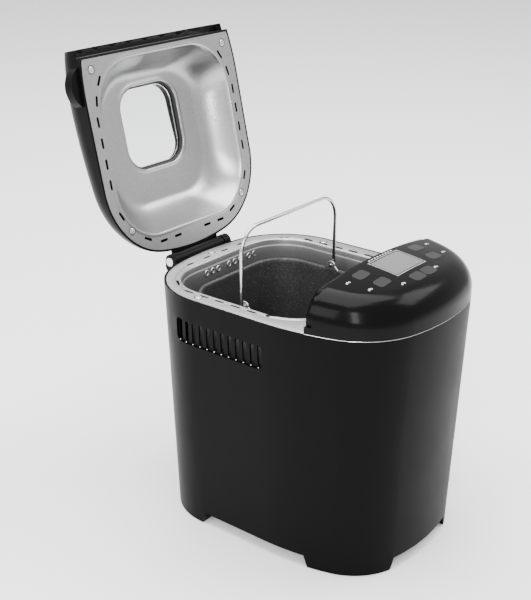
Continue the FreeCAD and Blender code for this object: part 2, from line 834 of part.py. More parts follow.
def drive_bearing():
    sleeve = rod("bearing_radius", "bearing_top - bearing_base", 0, "chamber_y", "bearing_base")
    collar = rod("bearing_radius + 6", 3, 0, "chamber_y", "chassis_z + chassis_thick")
    bore = rod("shaft_radius + running_gap", "bearing_top - bearing_base + 4", 0, "chamber_y",
               "bearing_base - 2")
    return cut(fuse(sleeve, collar), bore)


def pulley(radius, groove, bore, x, y, lightening):
    """A grooved wheel for the flat belt, with round windows in its web."""
    wheel = rod(radius, "pulley_height", x, y, "pulley_z")
    middle = "pulley_z + (pulley_height - belt_height) / 2 - 0.3"
    track = tube("%s + 2" % radius, "%s - %s" % (radius, groove), "belt_height + 0.6", x, y, middle)
    holes = [rod(bore, 20, x, y, "pulley_z - 4")]
    if lightening:
        reach = (S.pulley_radius + S.shaft_radius) / 2.0
        for step in range(5):
            turn = step * 2 * math.pi / 5
            hole = rod(8, 20, "%g" % (reach * math.cos(turn)),
                       "chamber_y + %g" % (reach * math.sin(turn)), "pulley_z - 4")
            holes.append(hole)
    return cut(wheel, track, *holes)


def dogs(x_turn, base):
    """Two drive dogs, opposite each other about the drive axis."""
    pair = []
    for side in (0, 1):
        dog = doc.addObject("Part::Box", "dog")
        bind(dog, Length="coupler_radius - 0.5 - dog_inner", Width="dog_width", Height="dog_height")
        turn = FreeCAD.Rotation(Z, x_turn + 180 * side)
        corner = turn.multVec(FreeCAD.Vector(S.dog_inner, -S.dog_width / 2.0, 0))
        place(dog, corner.x, "chamber_y + %g" % corner.y, base, turn)
        pair.append(dog)
    return pair


def belt_path(grow):
    """A line round both pulley grooves, moved outwards by grow."""
    big = (0.0, S.chamber_y, S.pulley_radius - S.pulley_groove + grow)
    small = (S.motor_x, S.motor_y, S.motor_pulley_radius - S.motor_pulley_groove + grow)
    span = math.dist(big[:2], small[:2])
    heading = math.atan2(small[1] - big[1], small[0] - big[0])
    lean = math.acos((big[2] - small[2]) / span)
    arcs = [
        arc_to(big[:2], big[2], heading + lean, heading - lean + 2 * math.pi),
        arc_to(small[:2], small[2], heading - lean, heading + lean),
    ]
    return [
        arcs[0],
        Part.LineSegment(arcs[0].EndPoint, arcs[1].StartPoint),
        arcs[1],
        Part.LineSegment(arcs[1].EndPoint, arcs[0].StartPoint),
    ]


belt_base = "pulley_z + (pulley_height - belt_height) / 2"
node(drive_bearing(), "drive_bearing")
node(pulley("pulley_radius", "pulley_groove", "shaft_radius", 0, "chamber_y", True), "drive_pulley")
node(rod("shaft_radius", "coupler_z + coupler_disc - pulley_z + 3", 0, "chamber_y", "pulley_z - 3"),
     "drive_shaft")
node(cut(fuse(rod("coupler_radius", "coupler_disc", 0, "chamber_y", "coupler_z"),
              *dogs(0, "coupler_z + coupler_disc - 0.5")),
         rod("shaft_radius", 20, 0, "chamber_y", "coupler_z - 12")), "drive_coupler")
node(pulley("motor_pulley_radius", "motor_pulley_groove", "motor_shaft_radius", "motor_x", "motor_y",
            False), "motor_pulley")
node(rod("motor_shaft_radius", "motor_base + 20 - pulley_z", "motor_x", "motor_y", "pulley_z - 1"),
     "motor_shaft")
node(cut(padded(belt_path(S.belt_gap + S.belt_thick), belt_base, "belt_height"),
         padded(belt_path(S.belt_gap), "pulley_z", "pulley_height")), "drive_belt")
node(cut(rod("motor_radius", "motor_height", "motor_x", "motor_y", "motor_base"),
         rod("motor_shaft_radius + 0.3", 21, "motor_x", "motor_y", "motor_base - 0.5")), "motor_body")
node(cut(block("motor_x - motor_radius - 2 * motor_margin", "motor_x + motor_radius + 2 * motor_margin",
               "motor_y - motor_radius - motor_margin", "motor_y + motor_radius + motor_margin",
               "chassis_z + chassis_thick", "motor_base"),
         rod("motor_shaft_radius + 3", 20, "motor_x", "motor_y", "chassis_z")), "motor_mount")


# ---------------------------------------------------------------- pan

node(tube("ring_radius + seat_clearance + seat_wall", "ring_radius + seat_clearance", "seat_height", 0,
          "chamber_y", "chamber_floor + sheet"), "pan_seat")


def pan_body():
    def level(width, length, inset):
        return rounded(width - 2 * inset, length - 2 * inset, S.pan_corner - inset, S.chamber_y)
    outer = lofted(level(S.pan_base_width, S.pan_base_length, 0.0), "pan_bottom",
                   level(S.pan_top_width, S.pan_top_length, 0.0), "pan_rim_z")
    inner = lofted(level(S.pan_base_width, S.pan_base_length, S.pan_wall), "pan_bottom + pan_wall",
                   level(S.pan_top_width, S.pan_top_length, S.pan_wall), "pan_rim_z + 0.05")
    rim = padded(level(S.pan_top_width, S.pan_top_length, -S.rim_overhang), "pan_rim_z - rim_height",
                 "rim_height")
    return cut(fuse(outer, rim), inner, rod("bush_radius", 20, 0, "chamber_y", "pan_bottom - 5"))


def pan_ears():
    """Two small brackets that carry the bail, standing on the rim."""
    y, top, foot = S.chamber_y, S.bail_pivot_z, S.pan_rim_z
    sides = chain([(y - S.ear_round, top), (y - S.ear_foot, foot), (y + S.ear_foot, foot),
                   (y + S.ear_round, top)])
    made = []
    for side in (-1, 1):
        flat = padded([arc_to((y, top), S.ear_round, 0.0, math.pi)] + sides,
                      "%d * (bail_half - bail_radius - ear_gap_side - ear_plate / 2)" % side,
                      "ear_plate", "YZ_Plane", True)
        made.append(cut(flat, rod("bail_radius + bail_hole_gap", 200, -100, "chamber_y",
                                  "bail_pivot_z", "x")))
    return group(*made)


def bail_handle():
    """A wire bow whose ends turn inwards through the ears."""
    low, high = S.bail_pivot_z, S.bail_pivot_z + S.bail_height
    half, bend, tip = S.bail_half, S.bail_bend, S.bail_tip
    small = S.bail_foot_bend
    path = doc.addObject("Sketcher::SketchObject", "bail_path")
    path.Placement = FreeCAD.Placement(FreeCAD.Vector(0, S.chamber_y, 0), FreeCAD.Rotation(X, 90))
    right = arc_to((half - bend, high - bend), bend, 0.0, math.pi / 2)
    left = arc_to((-half + bend, high - bend), bend, math.pi / 2, math.pi)
    foot_right = arc_to((half - small, low + small), small, -math.pi / 2, 0.0)
    foot_left = arc_to((-half + small, low + small), small, math.pi, 1.5 * math.pi)

    def line(a, b, c, d):
        return Part.LineSegment(FreeCAD.Vector(a, b, 0), FreeCAD.Vector(c, d, 0))
    path.addGeometry([
        line(half - tip, low, half - small, low), foot_right, line(half, low + small, half, high - bend),
        right, line(half - bend, high, -half + bend, high), left,
        line(-half, high - bend, -half, low + small), foot_left,
        line(-half + small, low, -half + tip, low)], False)
    return swept(path, "bail_radius", "bail_half - bail_tip", "chamber_y", "bail_pivot_z",
                 FreeCAD.Rotation(Y, 90))


node(pan_body(), "pan_body")
node(tube("ring_radius", "ring_radius - ring_wall",
          "pan_bottom - chamber_floor - sheet - seat_gap", 0, "chamber_y",
          "chamber_floor + sheet + seat_gap"), "pan_base_ring")
node(pan_ears(), "pan_ears")
node(bail_handle(), "bail_handle")
node(tube("bush_radius", "mixer_radius + running_gap", "bush_top - pan_bottom + 2", 0, "chamber_y",
          "pan_bottom - 2"), "pan_bush")
node(tube("bush_radius - 1", "mixer_radius + running_gap", "seal_height", 0, "chamber_y",
          "bush_top"), "shaft_seal")
dog_floor = "coupler_z + coupler_disc + dog_gap"
node(rod("mixer_radius", "mixer_top - (%s) - dog_height + 0.5" % dog_floor, 0, "chamber_y",
         dog_floor + " + dog_height - 0.5"), "mixing_shaft")
node(cut(fuse(rod("coupler_radius - 1", 4, 0, "chamber_y", dog_floor + " + dog_height - 0.5"),
              *dogs(90, dog_floor)),
         rod("mixer_radius", 30, 0, "chamber_y", "coupler_z")), "pan_coupler")


def kneading_paddle():
    base = "bush_top + seal_height + paddle_gap"
    hub = rod("paddle_hub_radius", "paddle_hub_height", 0, "chamber_y", base)
    cap = rod("paddle_hub_radius - 2", 3, 0, "chamber_y", base + " + paddle_hub_height - 0.01")
    blade = padded(
        polygon([(S.paddle_hub_radius - 3, 0.0), (S.paddle_reach, 0.0),
                 (S.paddle_reach - 6, S.paddle_height * 0.55), (S.paddle_hub_radius - 3,
                                                               S.paddle_height - 5)]),
        "-chamber_y", "paddle_thick", "XZ_Plane", True)
    place(blade, 0, 0, base)
    bore = rod("mixer_radius + paddle_bore_gap", "mixer_top - bush_top - seal_height + 1", 0,
               "chamber_y", "bush_top + seal_height - 0.5")
    return cut(fuse(hub, cap, blade), bore)


node(kneading_paddle(), "kneading_paddle")


# ---------------------------------------------------------------- control panel

def crown_height(x, y):
    """The dome's height above the table, away from its rounded edge."""
    drop = S.crown_radius - math.sqrt(S.crown_radius ** 2 - x ** 2 - (y - S.crown_y) ** 2)
    return S.deck_height + S.dome_rise - drop


def upright(width, length, corner, x, y):
    """A rounded block that stands through the dome."""
    return padded(rounded(width, length, corner, y, x), "deck_height", "dome_rise + 20")


BUTTONS = [
    # name, place to the right of the middle, distance in front of the panel's rear wall
    ("button_menu", -46.0, 17.5), ("button_size", -43.5, 38.5), ("button_start", -9.0, 54.0),
    ("button_up", 46.0, 17.5), ("button_down", 43.5, 38.5), ("button_timer", 9.5, 54.0),
]
BUTTONS = [(name, x, S.panel_wall_y - setback) for name, x, setback in BUTTONS]
BOARD_POSTS = [(x, S.panel_wall_y - setback)
               for x, setback in ((-58.0, 29.5), (58.0, 29.5), (-27.5, 48.5), (27.5, 48.5))]
panel_base = "deck_height + trim_height"


def button(x, y):
    cap = common(dome_skin, upright(S.button_width, S.button_length, S.button_corner, x, y))
    top = crown_height(x, y) - 1.0
    stem = block("%g - button_stem / 2" % x, "%g + button_stem / 2" % x, "%g - button_stem / 2" % y,
                 "%g + button_stem / 2" % y, "stem_base", "%g" % top)
    whole = fuse(cap, stem)
    return place(whole, 0, 0, "button_proud")


def panel_cover():
    solid = common(dome, block(-FAR, FAR, -FAR, "panel_wall_y", panel_base, FAR))
    hollow = common(dome_inside, block(-FAR, FAR, -FAR, "panel_wall_y - wall", 0, FAR))
    rebate = cut(block(-FAR, FAR, "panel_wall_y - lip_reach - lip_gap", 0,
                       "deck_height + lip_start - lip_gap", FAR), rebate_inside)
    shelf = common(cut(rebate_inside, lip_shelf_inside),
                   block(-FAR, FAR, "panel_wall_y - lip_reach - lip_gap - wall", "panel_wall_y",
                         panel_base, FAR))
    gap = 2 * S.button_gap
    holes = [upright(S.button_width + gap, S.button_length + gap, S.button_corner + S.button_gap, x, y)
             for name, x, y in BUTTONS]
    fit = 2 * S.fit_gap
    holes.append(upright(S.lens_width + fit, S.lens_length + fit, S.lens_corner + S.fit_gap, 0,
                         S.lens_y))
    bosses = [common(dome, rod("boss_radius", 60, "%g" % x, "%g" % y, "board_z + board_thick"))
              for x, y in BOARD_POSTS]
    return cut(fuse(cut(solid, hollow, rebate), shelf, *bosses), *holes)


lip_shelf_inside = loaf(S.lip_thick + S.lip_gap + S.wall)
node(panel_cover(), "panel_cover")
node(common(dome_skin, upright(S.lens_width, S.lens_length, S.lens_corner, 0, S.lens_y)),
     "display_lens")
module_top = crown_height(0, S.lens_y - S.lens_length / 2) - S.wall - S.module_gap
node(block("-lens_width / 2 - 1", "lens_width / 2 + 1", "lens_y - lens_length / 2 + 1",
           "lens_y + lens_length / 2 - 1", "board_z + board_thick", "%g" % module_top),
     "display_module")
switches = [
    block("%g - switch_half" % x, "%g + switch_half" % x, "%g - switch_half" % y,
          "%g + switch_half" % y, "board_z + board_thick - 0.1", "board_z + board_thick + switch_height")
    for name, x, y in BUTTONS
]
node(fuse(block("-board_half", "board_half", "board_front", "board_rear", "board_z",
                "board_z + board_thick"), *switches), "control_board")
for name, x, y in BUTTONS:
    node(button(x, y), name)
power_board_y = "panel_wall_y - power_board_setback"
node(block("power_board_left", "power_board_right", power_board_y, power_board_y + " + board_thick",
           "chassis_z + chassis_thick", "deck_height - power_board_drop"), "power_board")
node(block("catch_x - catch_half_width", "catch_x + catch_half_width", "catch_y - catch_half_length",
           "catch_y + catch_half_length", "deck_height", "deck_height + catch_rise"), "lid_catch")


# ---------------------------------------------------------------- lid, drawn closed and then opened

lid_base = "deck_height + lid_gap"
lid_front = "panel_wall_y + lid_front_gap"


def window_frame(grow, start, height):
    return padded(rounded(S.window_width + 2 * grow, S.window_length + 2 * grow,
                          S.window_corner + grow, S.window_y), start, height)


def hinge_rod(radius, start, end):
    return rod(radius, "(%s) - (%s)" % (end, start), start, "hinge_y", "hinge_z", "x")


def lid_cover():
    solid = common(dome, block(-FAR, FAR, lid_front, FAR, lid_base, FAR))
    hollow = common(dome_inside, block(-FAR, FAR, lid_front + " + wall", FAR, 0, FAR))
    lip = common(cut(dome, lip_inside),
                 block(-FAR, FAR, "panel_wall_y - lip_reach", lid_front + " + 1",
                       "deck_height + lip_start", FAR))
    barrel = hinge_rod("barrel_radius", "-barrel_half", "barrel_half")
    web = block("-barrel_half", "barrel_half", "rear_reach - 0.5", "hinge_y", "hinge_z + 3",
                "hinge_z + barrel_radius")
    window = window_frame(-1.0, "deck_height", "dome_rise + 20")
    bore = hinge_rod("pin_radius + pin_clearance", "-barrel_half - 1", "barrel_half + 1")
    well = common(dome, cut(window_frame(S.gasket_width, "glass_seat + gasket_height", 40),
                            window_frame(-1.0, "deck_height", 90)))
    return cut(fuse(cut(solid, hollow), lip, well, cut(fuse(barrel, web), dome_inside)), window, bore)


def lid_liner():
    skin = S.sheet
    plate = padded(outline(-S.plate_gap), lid_base, "sheet")
    bowl = lofted(
        rounded(S.dish_width + 2 * skin, S.dish_length + 2 * skin, S.dish_corner + skin, S.chamber_y),
        lid_base,
        rounded(S.dish_floor_width + 2 * skin, S.dish_floor_length + 2 * skin,
                S.dish_floor_corner + skin, S.dish_floor_y), lid_base + " + dish_depth + sheet")
    dish = lofted(
        rounded(S.dish_width, S.dish_length, S.dish_corner, S.chamber_y), lid_base + " - 0.01",
        rounded(S.dish_floor_width, S.dish_floor_length, S.dish_floor_corner, S.dish_floor_y),
        lid_base + " + dish_depth")
    front = block(-FAR, FAR, -FAR, lid_front + " + wall + plate_gap", 0, FAR)
    window = window_frame(0.0, "deck_height", 90)
    side = S.half_width - S.liner_slot_inset
    rear = S.rear_reach - S.liner_rear_slot_inset
    slots = slot_ring(
        z=S.deck_height - 1.0, side_x=side, side_first=S.chamber_y - 34.2, side_count=4,
        side_pitch=20.5, rear_y=rear, rear_half=(22.8, 44.0),
        corners=[(side - 3.5, S.chamber_y - 54.0, 12), (side - 11.5, S.chamber_y - 72.5, 30),
                 (side - 5.5, S.chamber_y + 60.0, -27), (side - 34.5, rear - 7.2, -62)])
    holes = [rod("screw_hole", 10, x, y, "deck_height - 5") for x, y in LINER_SCREWS]
    return cut(fuse(plate, bowl), dish, front, window, *(slots + holes))


LINER_SCREWS = [
    ("%d * (half_width - %s)" % (side, inset), y)
    for side in (-1, 1)
    for inset, y in (("liner_screw_inset", "panel_wall_y + liner_screw_reach"),
                     ("liner_rear_screw_inset", "chamber_y + liner_rear_screw_reach"))
]


def lid_grip():
    knob = rod("grip_radius", "grip_height", "grip_x", "grip_y", "deck_height + grip_rise")
    return cut(knob, dome)


LID = [
    node(lid_cover(), "lid_cover"),
    node(lid_liner(), "lid_liner"),
    node(group(*[
        fuse(rod("screw_head", "head_proud", x, y, lid_base + " - head_proud"),
             rod("screw_hole", 8, x, y, lid_base + " - head_proud"))
        for x, y in LINER_SCREWS]), "liner_screws"),
    node(cut(window_frame(S.gasket_width, "glass_seat", "gasket_height"),
             window_frame(0.0, "deck_height", 90)), "window_gasket"),
    node(window_frame(0.0, "glass_seat", "glass_thick"), "window_glass"),
    node(lid_grip(), "lid_grip"),
]


# ---------------------------------------------------------------- hinge

def hinge_bracket():
    """Two ears behind the deck, joined by a bar along the housing's rear wall."""
    axis_y, axis_z, radius = S.hinge_y, S.hinge_z, S.ear_radius
    near = S.rear_reach - S.bracket_depth
    heel = axis_y - radius / 2.0
    sides = chain([(axis_y - radius, axis_z), (near, axis_z), (near, S.hinge_foot),
                   (heel, S.hinge_foot), (axis_y + radius, axis_z - radius),
                   (axis_y + radius, axis_z)])
    ears = [
        padded([arc_to((axis_y, axis_z), radius, 0.0, math.pi)] + sides,
               "%d * (barrel_half + ear_gap + ear_width / 2)" % side, "ear_width", "YZ_Plane", True)
        for side in (-1, 1)
    ]
    bar_top = S.hinge_foot + S.bracket_bar
    bar = padded(polygon([(near, S.hinge_foot), (heel, S.hinge_foot), (heel, bar_top), (near, bar_top)]),
                 0, "2 * (barrel_half + ear_gap + ear_width) - 1", "YZ_Plane", True)
    return cut(fuse(bar, *ears), housing_solid, hinge_rod("pin_radius", "-200", "200"))


node(hinge_bracket(), "hinge_bracket")
ear_end = "barrel_half + ear_gap + ear_width"
node(group(*[
    fuse(hinge_rod("pin_radius", start, end), hinge_rod("pin_head_radius", head, head_end))
    for start, end, head, head_end in (
        ("-(%s)" % ear_end, "pin_reach - barrel_half", "-(%s) - pin_head" % ear_end, "-(%s)" % ear_end),
        ("barrel_half - pin_reach", ear_end, ear_end, ear_end + " + pin_head"))
]), "hinge_pins")


# ---------------------------------------------------------------- vents and cord inlet

def vent_grille(side):
    margin = S.vent_lap
    low = S.vent_base - margin
    high = S.vent_base + S.vent_height + margin
    band = cut(shell_band(S.wall, "%g" % low, "%g" % high, low, high),
               shell_band(2 * S.wall, "%g" % (low - 1), "%g" % (high + 1), low - 1, high + 1))
    start = "half_width / 2" if side > 0 else "-half_width / 2 - %g" % FAR
    patch = padded(rounded(S.vent_length + 2 * margin, S.vent_height + 2 * margin - 0.5,
                           S.vent_corner, S.vent_base + S.vent_height / 2.0, S.vent_y),
                   start, FAR, "YZ_Plane")
    first = S.vent_y - (S.vent_slots - 1) / 2.0 * S.vent_pitch
    slots = [
        block(-FAR if side < 0 else 0, 0 if side < 0 else FAR,
              "%g - vent_slot_width / 2" % (first + step * S.vent_pitch),
              "%g + vent_slot_width / 2" % (first + step * S.vent_pitch),
              "vent_base + vent_slot_margin", "vent_base + vent_height - vent_slot_margin")
        for step in range(int(S.vent_slots))
    ]
    return cut(common(band, patch), *slots)


node(vent_grille(-1), "vent_grille_left")
node(vent_grille(1), "vent_grille_right")
inlet_face = rear_edge(S.inlet_x, S.wall - S.foot_inset / S.deck_height * (S.deck_height - S.inlet_z))
inlet_collar = cut(rod("inlet_radius + inlet_flange", "wall + inlet_flange", "inlet_x",
                       "%g - wall" % inlet_face, "inlet_z", "y"), housing_solid)
node(cut(fuse(rod("inlet_radius", "inlet_depth", "inlet_x", "%g - inlet_depth + inlet_flange" % inlet_face,
                  "inlet_z", "y"), inlet_collar),
         rod("inlet_bore", 60, "inlet_x", "%g - 40" % inlet_face, "inlet_z", "y")), "cord_inlet")


# ---------------------------------------------------------------- open the lid and stand on the origin

def move(part, placement):
    """Takes a finished sub-part from where it was drawn."""
    for axis in "xyz":
        part.setExpression("Placement.Base." + axis, None)
    part.Placement = placement.multiply(part.Placement)


doc.recompute()
hinge_line = FreeCAD.Vector(0, S.hinge_y, S.hinge_z)
swing = FreeCAD.Placement(FreeCAD.Vector(), FreeCAD.Rotation(X, -S.lid_opening), hinge_line)
for part in LID:
    move(part, swing)
doc.recompute()
middle = Part.makeCompound([part.Shape for part in NODES]).optimalBoundingBox(True, False).Center
shift = FreeCAD.Vector(-round(middle.x, 1), -round(middle.y, 1), 0)
for part in NODES:
    move(part, FreeCAD.Placement(shift, FreeCAD.Rotation()))
doc.recompute()


# ---------------------------------------------------------------- check and write

for thing in doc.Objects:
    bad = [word for word in thing.State if word in ("Invalid", "Error")]
    if bad:
        raise RuntimeError("%s %s: %s" % (thing.Name, thing.Label, thing.State))
for part in NODES:
    if part.Shape.isNull() or not part.Shape.isValid() or not part.Shape.Solids:
        raise RuntimeError("no valid solid in " + part.Label)
os.makedirs("parts", exist_ok=True)
for part in NODES:
    part.Shape.exportStep("parts/%s.step" % part.Label)
print(len(NODES), "parts written, drawn frame moved by", shift.x, shift.y)
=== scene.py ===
import json
import math

import bmesh
import bpy
from mathutils import Matrix, Vector


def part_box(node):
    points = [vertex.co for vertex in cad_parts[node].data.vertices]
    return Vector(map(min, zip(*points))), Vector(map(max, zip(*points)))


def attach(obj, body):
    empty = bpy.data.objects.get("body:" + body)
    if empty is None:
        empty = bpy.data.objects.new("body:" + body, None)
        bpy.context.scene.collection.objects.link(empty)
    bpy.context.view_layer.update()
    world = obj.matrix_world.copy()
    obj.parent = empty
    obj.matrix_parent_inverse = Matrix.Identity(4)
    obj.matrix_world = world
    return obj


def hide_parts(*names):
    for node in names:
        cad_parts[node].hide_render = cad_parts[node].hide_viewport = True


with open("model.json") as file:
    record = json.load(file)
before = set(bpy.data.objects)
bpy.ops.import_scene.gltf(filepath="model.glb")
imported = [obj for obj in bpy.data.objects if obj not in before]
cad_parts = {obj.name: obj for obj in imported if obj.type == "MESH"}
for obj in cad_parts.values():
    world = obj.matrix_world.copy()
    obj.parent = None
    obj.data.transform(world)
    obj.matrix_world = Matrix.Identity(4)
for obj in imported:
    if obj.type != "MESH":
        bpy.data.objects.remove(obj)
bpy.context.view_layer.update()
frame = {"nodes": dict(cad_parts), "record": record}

# A bread machine with its lid open.  Shapes are worked out in millimetres about the middle of the
# deck with the lid shut, and TO_FRAME takes them to the CAD model's frame.

MM = 0.001
DECK = 250.0
HALF_WIDTH = 109.4
FRONT_REACH = 147.0
REAR_REACH = 142.4
PLATE_GAP = 0.3
PANEL_WALL = -66.5

# radii of the deck outline's arcs, and where its straight flank starts and ends
FRONT_ARC, CORNER_ARC, FLANK_ARC, TAIL_ARC, REAR_ARC = 204.0, 72.0, 250.0, 75.0, 255.0
FLANK_START, FLANK_END = -20.0, 64.1

LID_BASE = DECK + 0.8
DOME_RISE = 47.0
CROWN_RADIUS = 590.0
CROWN_Y = -26.0
HINGE_Y = REAR_REACH + 9.2
HINGE_Z = DECK - 2.1
LID_OPENING = math.radians(102.7)

# rounded rectangles: width, length and corner radius
CHAMBER = (181.0, 177.0, 46.0)
CHAMBER_Y = 31.0
WINDOW = (80.0, 83.0, 22.0)
WINDOW_Y = 16.0
MOUTH = (188.0, 177.5, 50.0)
DISH_FLOOR = (132.0, 124.0, 40.0)
DISH_FLOOR_Y = 28.0

SPOKES = 288
HUB = (0.0, 24.0)

housing_low, housing_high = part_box("housing_shell")
deck_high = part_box("deck_plate")[1]
MIDDLE = Vector(((housing_low.x + housing_high.x) / 2,
                 deck_high.y - (REAR_REACH - PLATE_GAP) * MM, 0))
TO_FRAME = Matrix.Translation(MIDDLE) @ Matrix.Scale(MM, 4)
HINGE_LINE = Matrix.Translation((0, HINGE_Y, HINGE_Z))
SWING = HINGE_LINE @ Matrix.Rotation(-LID_OPENING, 4, "X") @ HINGE_LINE.inverted()


# ---------------------------------------------------------------- outlines

def arc(centre, radius, start, end, steps):
    """Points on an arc, without its last one."""
    return [(centre[0] + radius * math.cos(start + (end - start) * i / steps),
             centre[1] + radius * math.sin(start + (end - start) * i / steps)) for i in range(steps)]


def deck_outline(grow):
    """The deck's outline moved outwards: a closed chain of tangent arcs, anticlockwise."""
    front = (0.0, FRONT_ARC - FRONT_REACH)
    flank = (HALF_WIDTH - FLANK_ARC, FLANK_START)
    rear = (0.0, REAR_REACH - REAR_ARC)
    reach_a, reach_b = FRONT_ARC - CORNER_ARC, FLANK_ARC - CORNER_ARC
    apart = math.dist(front, flank)
    along = (reach_a ** 2 - reach_b ** 2 + apart ** 2) / (2 * apart)
    aside = math.sqrt(reach_a ** 2 - along ** 2)
    ux, uy = (flank[0] - front[0]) / apart, (flank[1] - front[1]) / apart
    corner = max((front[0] + along * ux - s * aside * uy, front[1] + along * uy + s * aside * ux)
                 for s in (-1, 1))
    tail_x = HALF_WIDTH - TAIL_ARC
    tail = (tail_x, rear[1] + math.sqrt((REAR_ARC - TAIL_ARC) ** 2 - tail_x ** 2))
    a_front = math.atan2(corner[1] - front[1], corner[0] - front[0])
    a_flank = math.atan2(corner[1] - flank[1], corner[0] - flank[0])
    a_tail = math.atan2(tail[1] - rear[1], tail[0])
    side = HALF_WIDTH + grow
    right = (arc(front, FRONT_ARC + grow, -math.pi / 2, a_front, 26)
             + arc(corner, CORNER_ARC + grow, a_front, a_flank, 26)
             + arc(flank, FLANK_ARC + grow, a_flank, 0.0, 14)
             + [(side, flank[1] + (tail[1] - flank[1]) * i / 10) for i in range(10)]
             + arc(tail, TAIL_ARC + grow, 0.0, a_tail, 28)
             + arc(rear, REAR_ARC + grow, a_tail, math.pi / 2, 22))
    left = [(-x, y) for x, y in reversed(right[1:])]
    return right + [(0.0, REAR_REACH + grow)] + left


def rounded(width, length, corner, y, grow=0.0, steps=12):
    """A rounded rectangle about (0, y), anticlockwise from its right side."""
    half_x, half_y = width / 2 - corner, length / 2 - corner
    points = []
    for k, (sx, sy) in enumerate(((1, 1), (-1, 1), (-1, -1), (1, -1))):
        points += arc((sx * half_x, y + sy * half_y), corner + grow, k * math.pi / 2,
                      (k + 1) * math.pi / 2, steps)
        points.append((sx * half_x + (corner + grow) * math.cos((k + 1) * math.pi / 2),
                       y + sy * half_y + (corner + grow) * math.sin((k + 1) * math.pi / 2)))
    return points


def circle(radius, z, steps=SPOKES, y=0.0):
    """A level ring of points about (0, y), anticlockwise from its right side."""
    return [(radius * math.cos(math.tau * i / steps), y + radius * math.sin(math.tau * i / steps), z)
            for i in range(steps)]


def around(curve):
    """The same closed curve as one point for each direction from the hub."""
    polar = sorted((math.atan2(y - HUB[1], x - HUB[0]) % math.tau, math.dist(HUB, (x, y)))
                   for x, y in curve)
    before = (polar[-1][0] - math.tau, polar[-1][1])
    after = (polar[0][0] + math.tau, polar[0][1])
    polar = [before] + polar + [after]
    points, k = [], 0
    for i in range(SPOKES):
        want = math.tau * i / SPOKES
        while polar[k + 1][0] < want:
            k += 1
        (a, ra), (b, rb) = polar[k], polar[k + 1]
        # a straight chord between the two neighbours, met by the ray
        radius = ra * rb * math.sin(b - a) / (ra * math.sin(want - a) + rb * math.sin(b - want))
        points.append((HUB[0] + radius * math.cos(want), HUB[1] + radius * math.sin(want)))
    return points


def between(inner, outer, share):
    """The ring that lies a share of the way from one ring to another."""
    return [(a[0] + (b[0] - a[0]) * share, a[1] + (b[1] - a[1]) * share) for a, b in zip(inner, outer)]


def behind(points, y):
    """A ring cut straight along a line across the machine."""
    return [(px if py >= y else HUB[0] + (px - HUB[0]) * (HUB[1] - y) / (HUB[1] - py), max(py, y))
            for px, py in points]


def level(points, z):
    return [(x, y, z) for x, y in points]


# ---------------------------------------------------------------- mesh tools

def skin(rings, start_cap=False, end_cap=False, joined=False):
    """Quads between rings of equal length; joined closes the last ring onto the first."""
    bm = bmesh.new()
    rows = [[bm.verts.new(p) for p in ring] for ring in rings]
    pairs = list(zip(rows, rows[1:])) + ([(rows[-1], rows[0])] if joined else [])
    for low, high in pairs:
        for i in range(len(low)):
            j = (i + 1) % len(low)
            bm.faces.new((low[i], low[j], high[j], high[i]))
    if start_cap:
        bm.faces.new(list(reversed(rows[0])))
    if end_cap:
        bm.faces.new(rows[-1])
    bmesh.ops.recalc_face_normals(bm, faces=bm.faces)
    return bm


def facing(bm, upwards):
    """Turns an open sheet so that its show face looks up or down."""
    lean = sum(face.normal.z * face.calc_area() for face in bm.faces)
    if (lean > 0) != upwards:
        bmesh.ops.reverse_faces(bm, faces=bm.faces)
    return bm


def sliced(bm, axis, value, keep_above):
    """Cuts a mesh at a plane across an axis, keeps one side and closes it."""
    normal = Vector([1.0 if k == axis else 0.0 for k in "xyz"])
    geom = list(bm.verts) + list(bm.edges) + list(bm.faces)
    bmesh.ops.bisect_plane(bm, geom=geom, plane_co=normal * value, plane_no=normal, dist=1e-4,
                           clear_inner=keep_above, clear_outer=not keep_above)
    index = "xyz".index(axis)
    rim = [e for e in bm.edges
           if e.is_boundary and all(abs(v.co[index] - value) < 1e-3 for v in e.verts)]
    bmesh.ops.holes_fill(bm, edges=rim, sides=0)
    return bm


def as_object(name, bm, opened=False):
    """A mesh in millimetres as an object in the frame; opened turns it with the lid."""
    bm.transform(TO_FRAME @ SWING if opened else TO_FRAME)
    mesh = bpy.data.meshes.new(name)
    bm.to_mesh(mesh)
    bm.free()
    obj = bpy.data.objects.new(name, mesh)
    bpy.context.scene.collection.objects.link(obj)
    return obj


def modifier(obj, kind, **values):
    made = obj.modifiers.new(kind.lower(), kind)
    for key, value in values.items():
        setattr(made, key, value)


def thickened(obj, thickness):
    """Gives a sheet its thickness behind its show face."""
    modifier(obj, "SOLIDIFY", thickness=thickness * MM, offset=-1.0, use_even_offset=True,
             use_quality_normals=True)


def softened(obj, width):
    """Breaks an object's sharp edges."""
    modifier(obj, "BEVEL", width=width * MM, segments=2, limit_method="ANGLE",
             angle_limit=math.radians(40), harden_normals=False)


def baked(obj, *helpers):
    """Applies an object's modifiers and removes the helper objects that they used."""
    bpy.context.view_layer.update()
    evaluated = obj.evaluated_get(bpy.context.evaluated_depsgraph_get())
    mesh = bpy.data.meshes.new_from_object(evaluated)
    obj.modifiers.clear()
    obj.data = mesh
    for helper in helpers:
        bpy.data.objects.remove(helper)


def pierced(sheet, *cutters):
    """Cuts a sheet with each cutter in turn and removes the cutters."""
    for cutter in cutters:
        modifier(sheet, "BOOLEAN", operation="DIFFERENCE", object=cutter, solver="EXACT")
    baked(sheet, *cutters)


def smooth(obj, angle=30):
    for face in obj.data.polygons:
        face.use_smooth = True
    obj.data.set_sharp_from_angle(angle=math.radians(angle))


